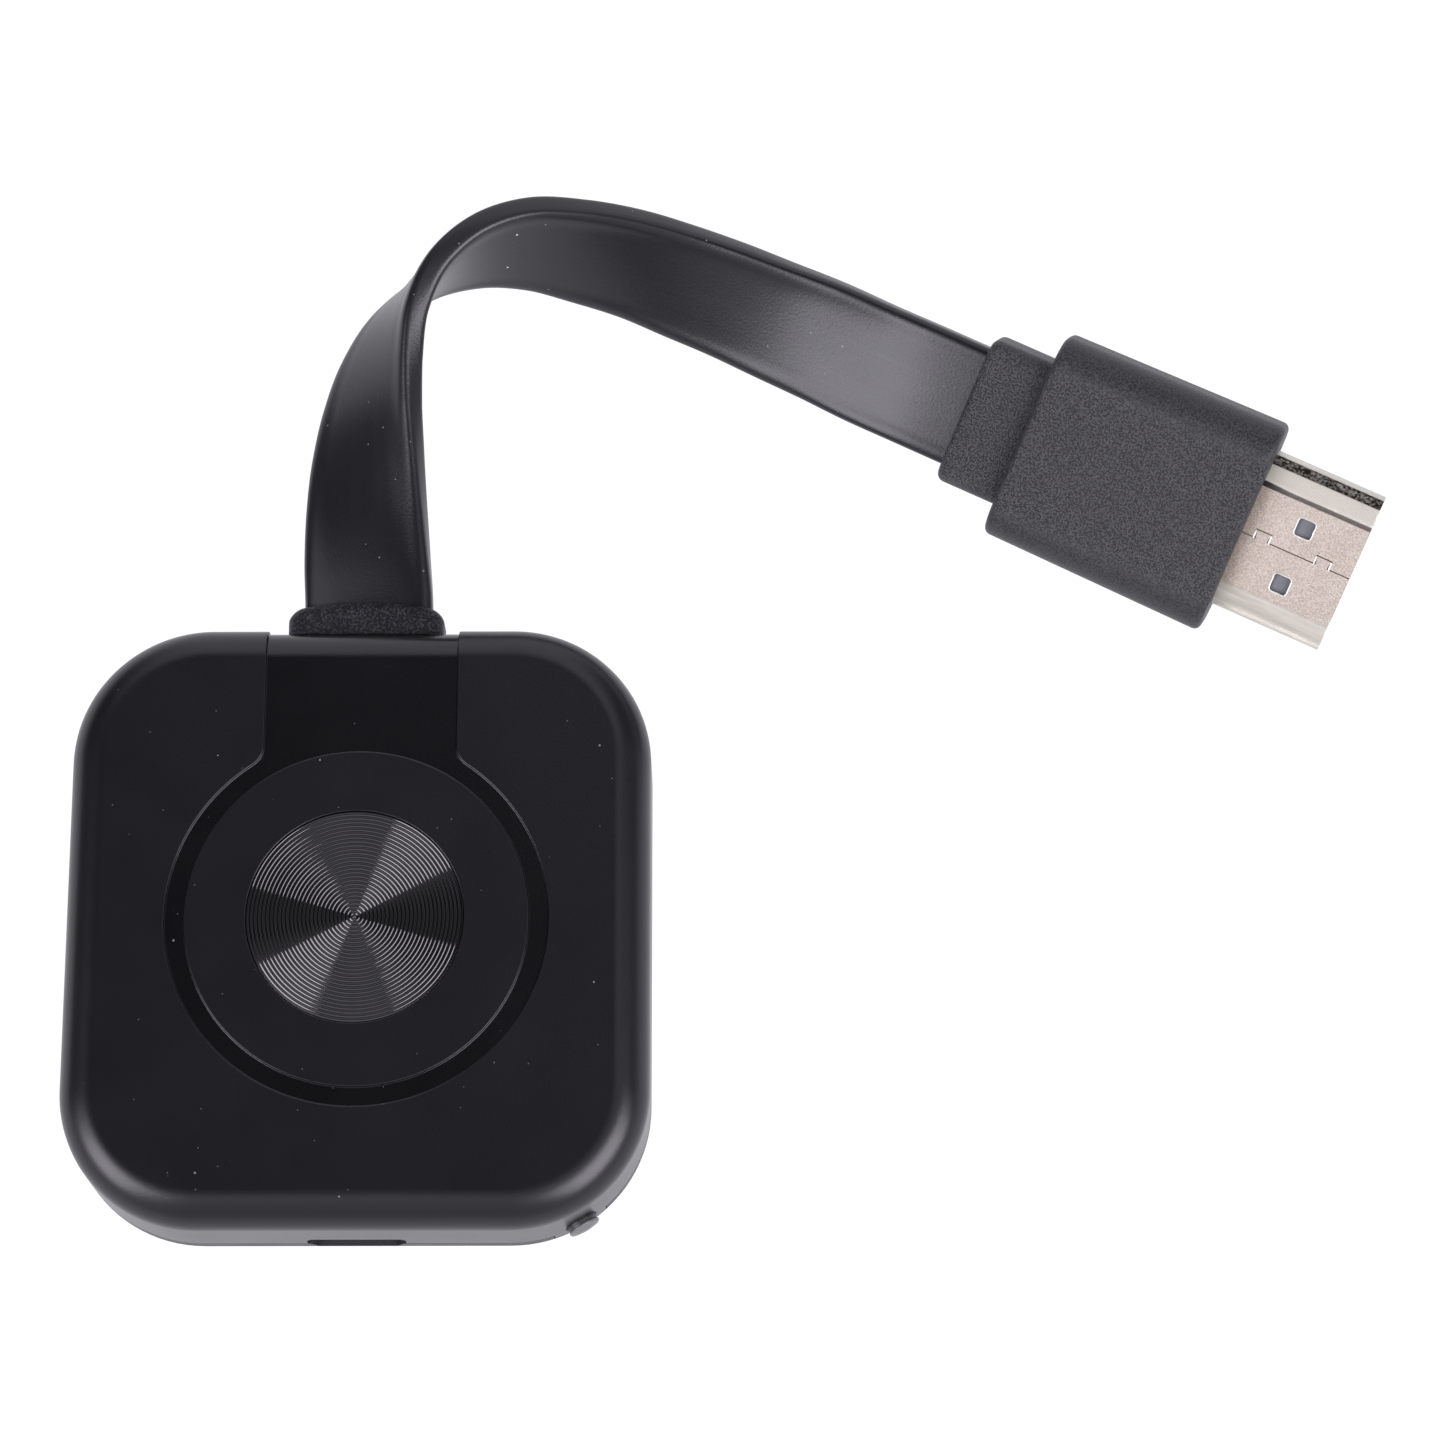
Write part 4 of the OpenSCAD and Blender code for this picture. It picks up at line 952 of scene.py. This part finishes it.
class ADAPTER_OT_top_cover(bpy.types.Operator):
    """Make the top cover with its ring, its channel and its openings"""

    bl_idname = "adapter.top_cover"
    bl_label = "Top cover"

    def execute(self, context):
        sizes, disc = context.scene.adapter_case, context.scene.adapter_disc
        skirt_low, beyond, wall = 0.5 * MM, 1 * MM, sizes.wall
        outer_size = (sizes.width, sizes.depth, sizes.height - skirt_low)
        cover = block("upper_case", outer_size, sizes.corner, 40, sizes.top_edge, 12, skirt_low)
        cavity_size = (sizes.width - 2 * wall, sizes.depth - 2 * wall, sizes.height - sizes.ceiling + beyond)
        carve(cover, block("cavity", cavity_size, sizes.corner - wall, 24, sizes.top_edge - wall, 6, -beyond))
        skirt = ring_sector("skirt", *mm(12.0, 9.4), 12.15, *mm(-2, 3))
        below = block("below", (60 * MM, 60 * MM, sizes.parting + 2 * beyond), low=-2 * beyond)
        carve(cover, carve(below, bake_place(skirt, button_frame(sizes))))
        carve(cover, keyhole_cutter(sizes))
        pocket_floor = sizes.height - disc.sink - disc.thickness
        pocket = rod("pocket", disc.radius + 0.02 * MM, pocket_floor, sizes.height + beyond, 128)
        carve(cover, bake_place(pocket, Matrix.Translation((disc.middle_x, disc.middle_y, 0))))
        port = prism("port", [mm(x, y) for x, y in PORT_MOUTH], 0, 3 * MM)
        front_wall = Matrix.Translation(mm(0, -23.9, 1.9)) @ Matrix.Rotation(radians(90), 4, "X")
        carve(cover, bake_place(port, front_wall))
        for name, (size, foot) in COVER_ROOMS.items():
            carve(cover, bake_place(block(name, mm(*size)), Matrix.Translation(mm(*foot))))
        bore = rod("bore", sizes.button_radius + 0.08 * MM, *mm(9, 13), 48)
        carve(cover, bake_place(bore, button_frame(sizes) @ button_lie(sizes)))
        close_up(cover)

        def rim(p):
            on_channel = p.y > 10 * MM and abs(abs(p.x) - sizes.channel / 2) < 0.05 * MM
            return p.z > sizes.height - 0.4 * MM or (on_channel and p.z > 2 * MM)

        soften(cover, sizes.rim, 3, rim)
        finish_piece(cover, cover_plastic(), "top_cover")
        return {"FINISHED"}


class ADAPTER_OT_spun_disc(bpy.types.Operator):
    """Make the metal disc with its turned grooves"""

    bl_idname = "adapter.spun_disc"
    bl_label = "Spun disc"

    def execute(self, context):
        case, disc = context.scene.adapter_case, context.scene.adapter_disc
        top, edge = case.height - disc.sink, disc.radius - 0.06 * MM
        per_groove = 10
        points = []
        for k in range(disc.grooves * per_groove + 1):
            out = edge * k / (disc.grooves * per_groove)
            points.append((out, top - disc.groove * 0.5 * (1 - cos(2 * pi * k / per_groove))))
        points += [(disc.radius - 0.02 * MM, top - 0.02 * MM), (disc.radius, top - 0.06 * MM)]
        points += [(disc.radius, top - disc.thickness), (0, top - disc.thickness)]
        piece = turned("grooved_disc", points, 144)
        bake_place(piece, Matrix.Translation((disc.middle_x, disc.middle_y, 0)))
        finish_piece(piece, spun_metal(), "spun_disc", smooth=50)
        return {"FINISHED"}


class ADAPTER_OT_mode_button(bpy.types.Operator):
    """Make the mode button with its lipped face, its flange and the nub on the switch"""

    bl_idname = "adapter.mode_button"
    bl_label = "Mode button"

    def execute(self, context):
        sizes = context.scene.adapter_case
        tip, radius, seat = sizes.corner + sizes.button_reach, sizes.button_radius, 9.45 * MM
        profile = [(0, seat), (radius, seat)]
        profile += [(radius - back * MM, tip - down * MM) for back, down in BUTTON_EDGE] + [(0, tip)]
        button = turned("button_top", profile, 64)
        carve(button, rod("nub", 0.7 * MM, 8.5 * MM, seat + 0.1 * MM, 32), "UNION")
        bake_place(button, button_lie(sizes))
        carve(button, ring_sector("flange", *mm(9.8, 9.1), 12.97, *mm(1.1, 4.3)), "UNION")
        bake_place(button, button_frame(sizes))
        finish_piece(button, button_plastic(), "button_cap", body="mode_button")
        return {"FINISHED"}


class ADAPTER_OT_inner_finishes(bpy.types.Operator):
    """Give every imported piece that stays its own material"""

    bl_idname = "adapter.inner_finishes"
    bl_label = "Finishes of the packed pieces"

    def execute(self, context):
        for node, (make, *settings) in INNER_FINISHES.items():
            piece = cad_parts[node]
            piece.data.materials.clear()
            piece.data.materials.append(make(node + "_finish", *settings))
        return {"FINISHED"}


def white_paper():
    """Matte paper that glows white round the object as a painted pool of light, which falls off a little far
    out.
    """
    middle_x, middle_y, even, fall_over = 0.028, 0.018, 0.062, 0.3
    paint = Paint("white_paper")
    here = paint.place()
    x, y, _ = paint.parts(here)
    beyond_x, beyond_y = (abs(x - middle_x) - even).most(0), (abs(y - middle_y) - even).most(0)
    # Painted pool of light: the glow falls off beyond a square round the object
    fall = ((beyond_x * beyond_x + beyond_y * beyond_y) ** 0.5).ease(0, fall_over)
    shade = paint.noise(here, scale=60, detail=2, rough=0.5)
    return paint.surface(
        Base_Color=paint.mix(shade, (0.014, 0.014, 0.014), (0.02, 0.02, 0.02)),
        Roughness=0.9,
        Emission_Color=paint.mix(fall, (0.95, 0.943, 1.0), (0.75, 0.75, 0.765)),
        Emission_Strength=1.07,
    )


def pale_room():
    """Pale surroundings, dark overhead and dimmer on the left and right."""
    room = Paint("pale_room", "worlds")
    x, y, z = room.parts(room.node("ShaderNodeTexCoord", {}, {}, "Generated"))
    overhead = (z * 0.96 + y * 0.13 - x * 0.25).ease(0.88, 0.965)
    left = (0 - x).ease(0.2, 0.6) * y.ease(-0.22, 0.14) * z.ease(-0.25, 0.05)
    right = x.ease(0.2, 0.55) * y.ease(-0.3, 0) * z.ease(0, 0.35)
    glow = (0.75 + y.ease(-0.2, 0.6) * 0.47) * (1 - overhead * 0.96) * (1 - left * 0.88) * (1 - right * 0.82)
    tint = room.mix(overhead, (0.985, 0.97, 1.05), (0.98, 0.95, 1.15))
    sky = room.node("ShaderNodeBackground", {}, {"Color": tint, "Strength": glow})
    room.node("ShaderNodeOutputWorld", {}, {"Surface": sky})
    return room.material


class ADAPTER_OT_stage(bpy.types.Operator):
    """Make the white floor, the soft boxes and the pale surroundings"""

    bl_idname = "adapter.stage"
    bl_label = "Stage"

    def execute(self, context):
        scene = context.scene
        scene.view_settings.view_transform = "Standard"
        alone()
        bpy.ops.mesh.primitive_plane_add(size=6, location=(0, 0, -0.06 * MM))
        floor = bake_place(new_piece("floor"))
        floor.data.materials.append(white_paper())
        middle = Vector((0.02, 0.01, 0.005))
        for name, turn, tilt, far, wide, tall, glare in SOFT_BOXES:
            light = bpy.data.lights.new(name, "AREA")
            light.shape, light.size, light.size_y = "RECTANGLE", wide, tall
            light.energy, light.color = glare * pi * wide * tall, (1.0, 0.985, 1.045)
            box = bpy.data.objects.new(name, light)
            a, t = radians(turn), radians(tilt)
            away = Vector((cos(a) * sin(t), sin(a) * sin(t), cos(t)))
            box.location = middle + away * far
            box.rotation_euler = away.to_track_quat("Z", "Y").to_euler()
            scene.collection.objects.link(box)
        scene.world = pale_room()
        return {"FINISHED"}


GROUPS = {
    "adapter_case": CaseSizes,
    "adapter_disc": DiscSizes,
    "adapter_plug": PlugSizes,
    "adapter_colours": Colours,
}
OPERATORS = [
    ADAPTER_OT_camera,
    ADAPTER_OT_strain_relief,
    ADAPTER_OT_plug_grip,
    ADAPTER_OT_plug_shell,
    ADAPTER_OT_flat_cable,
    ADAPTER_OT_top_cover,
    ADAPTER_OT_spun_disc,
    ADAPTER_OT_mode_button,
    ADAPTER_OT_inner_finishes,
    ADAPTER_OT_stage,
]


class ADAPTER_PT_pieces(bpy.types.Panel):
    """Sizes, colours and pieces of the adapter"""

    bl_idname = "ADAPTER_PT_pieces"
    bl_label = "Wireless display adapter"
    bl_space_type = "VIEW_3D"
    bl_region_type = "UI"
    bl_category = "Adapter"

    def draw(self, context):
        for operator in OPERATORS:
            self.layout.operator(operator.bl_idname)
        for name, group in GROUPS.items():
            box = self.layout.box()
            for key in group.__annotations__:
                box.prop(getattr(context.scene, name), key)


def register():
    for group in [*GROUPS.values(), *OPERATORS, ADAPTER_PT_pieces]:
        bpy.utils.register_class(group)
    for name, group in GROUPS.items():
        setattr(bpy.types.Scene, name, bpy.props.PointerProperty(type=group))


def unregister():
    for name in GROUPS:
        delattr(bpy.types.Scene, name)
    for group in [ADAPTER_PT_pieces, *reversed(OPERATORS), *GROUPS.values()]:
        bpy.utils.unregister_class(group)


def main():
    """Makes every piece in order."""
    register()
    bpy.ops.adapter.camera()
    bpy.ops.adapter.strain_relief()
    bpy.ops.adapter.plug_grip()
    bpy.ops.adapter.plug_shell()
    bpy.ops.adapter.flat_cable()
    bpy.ops.adapter.top_cover()
    bpy.ops.adapter.spun_disc()
    bpy.ops.adapter.mode_button()
    bpy.ops.adapter.inner_finishes()
    bpy.ops.adapter.stage()


if __name__ == "__main__":
    main()
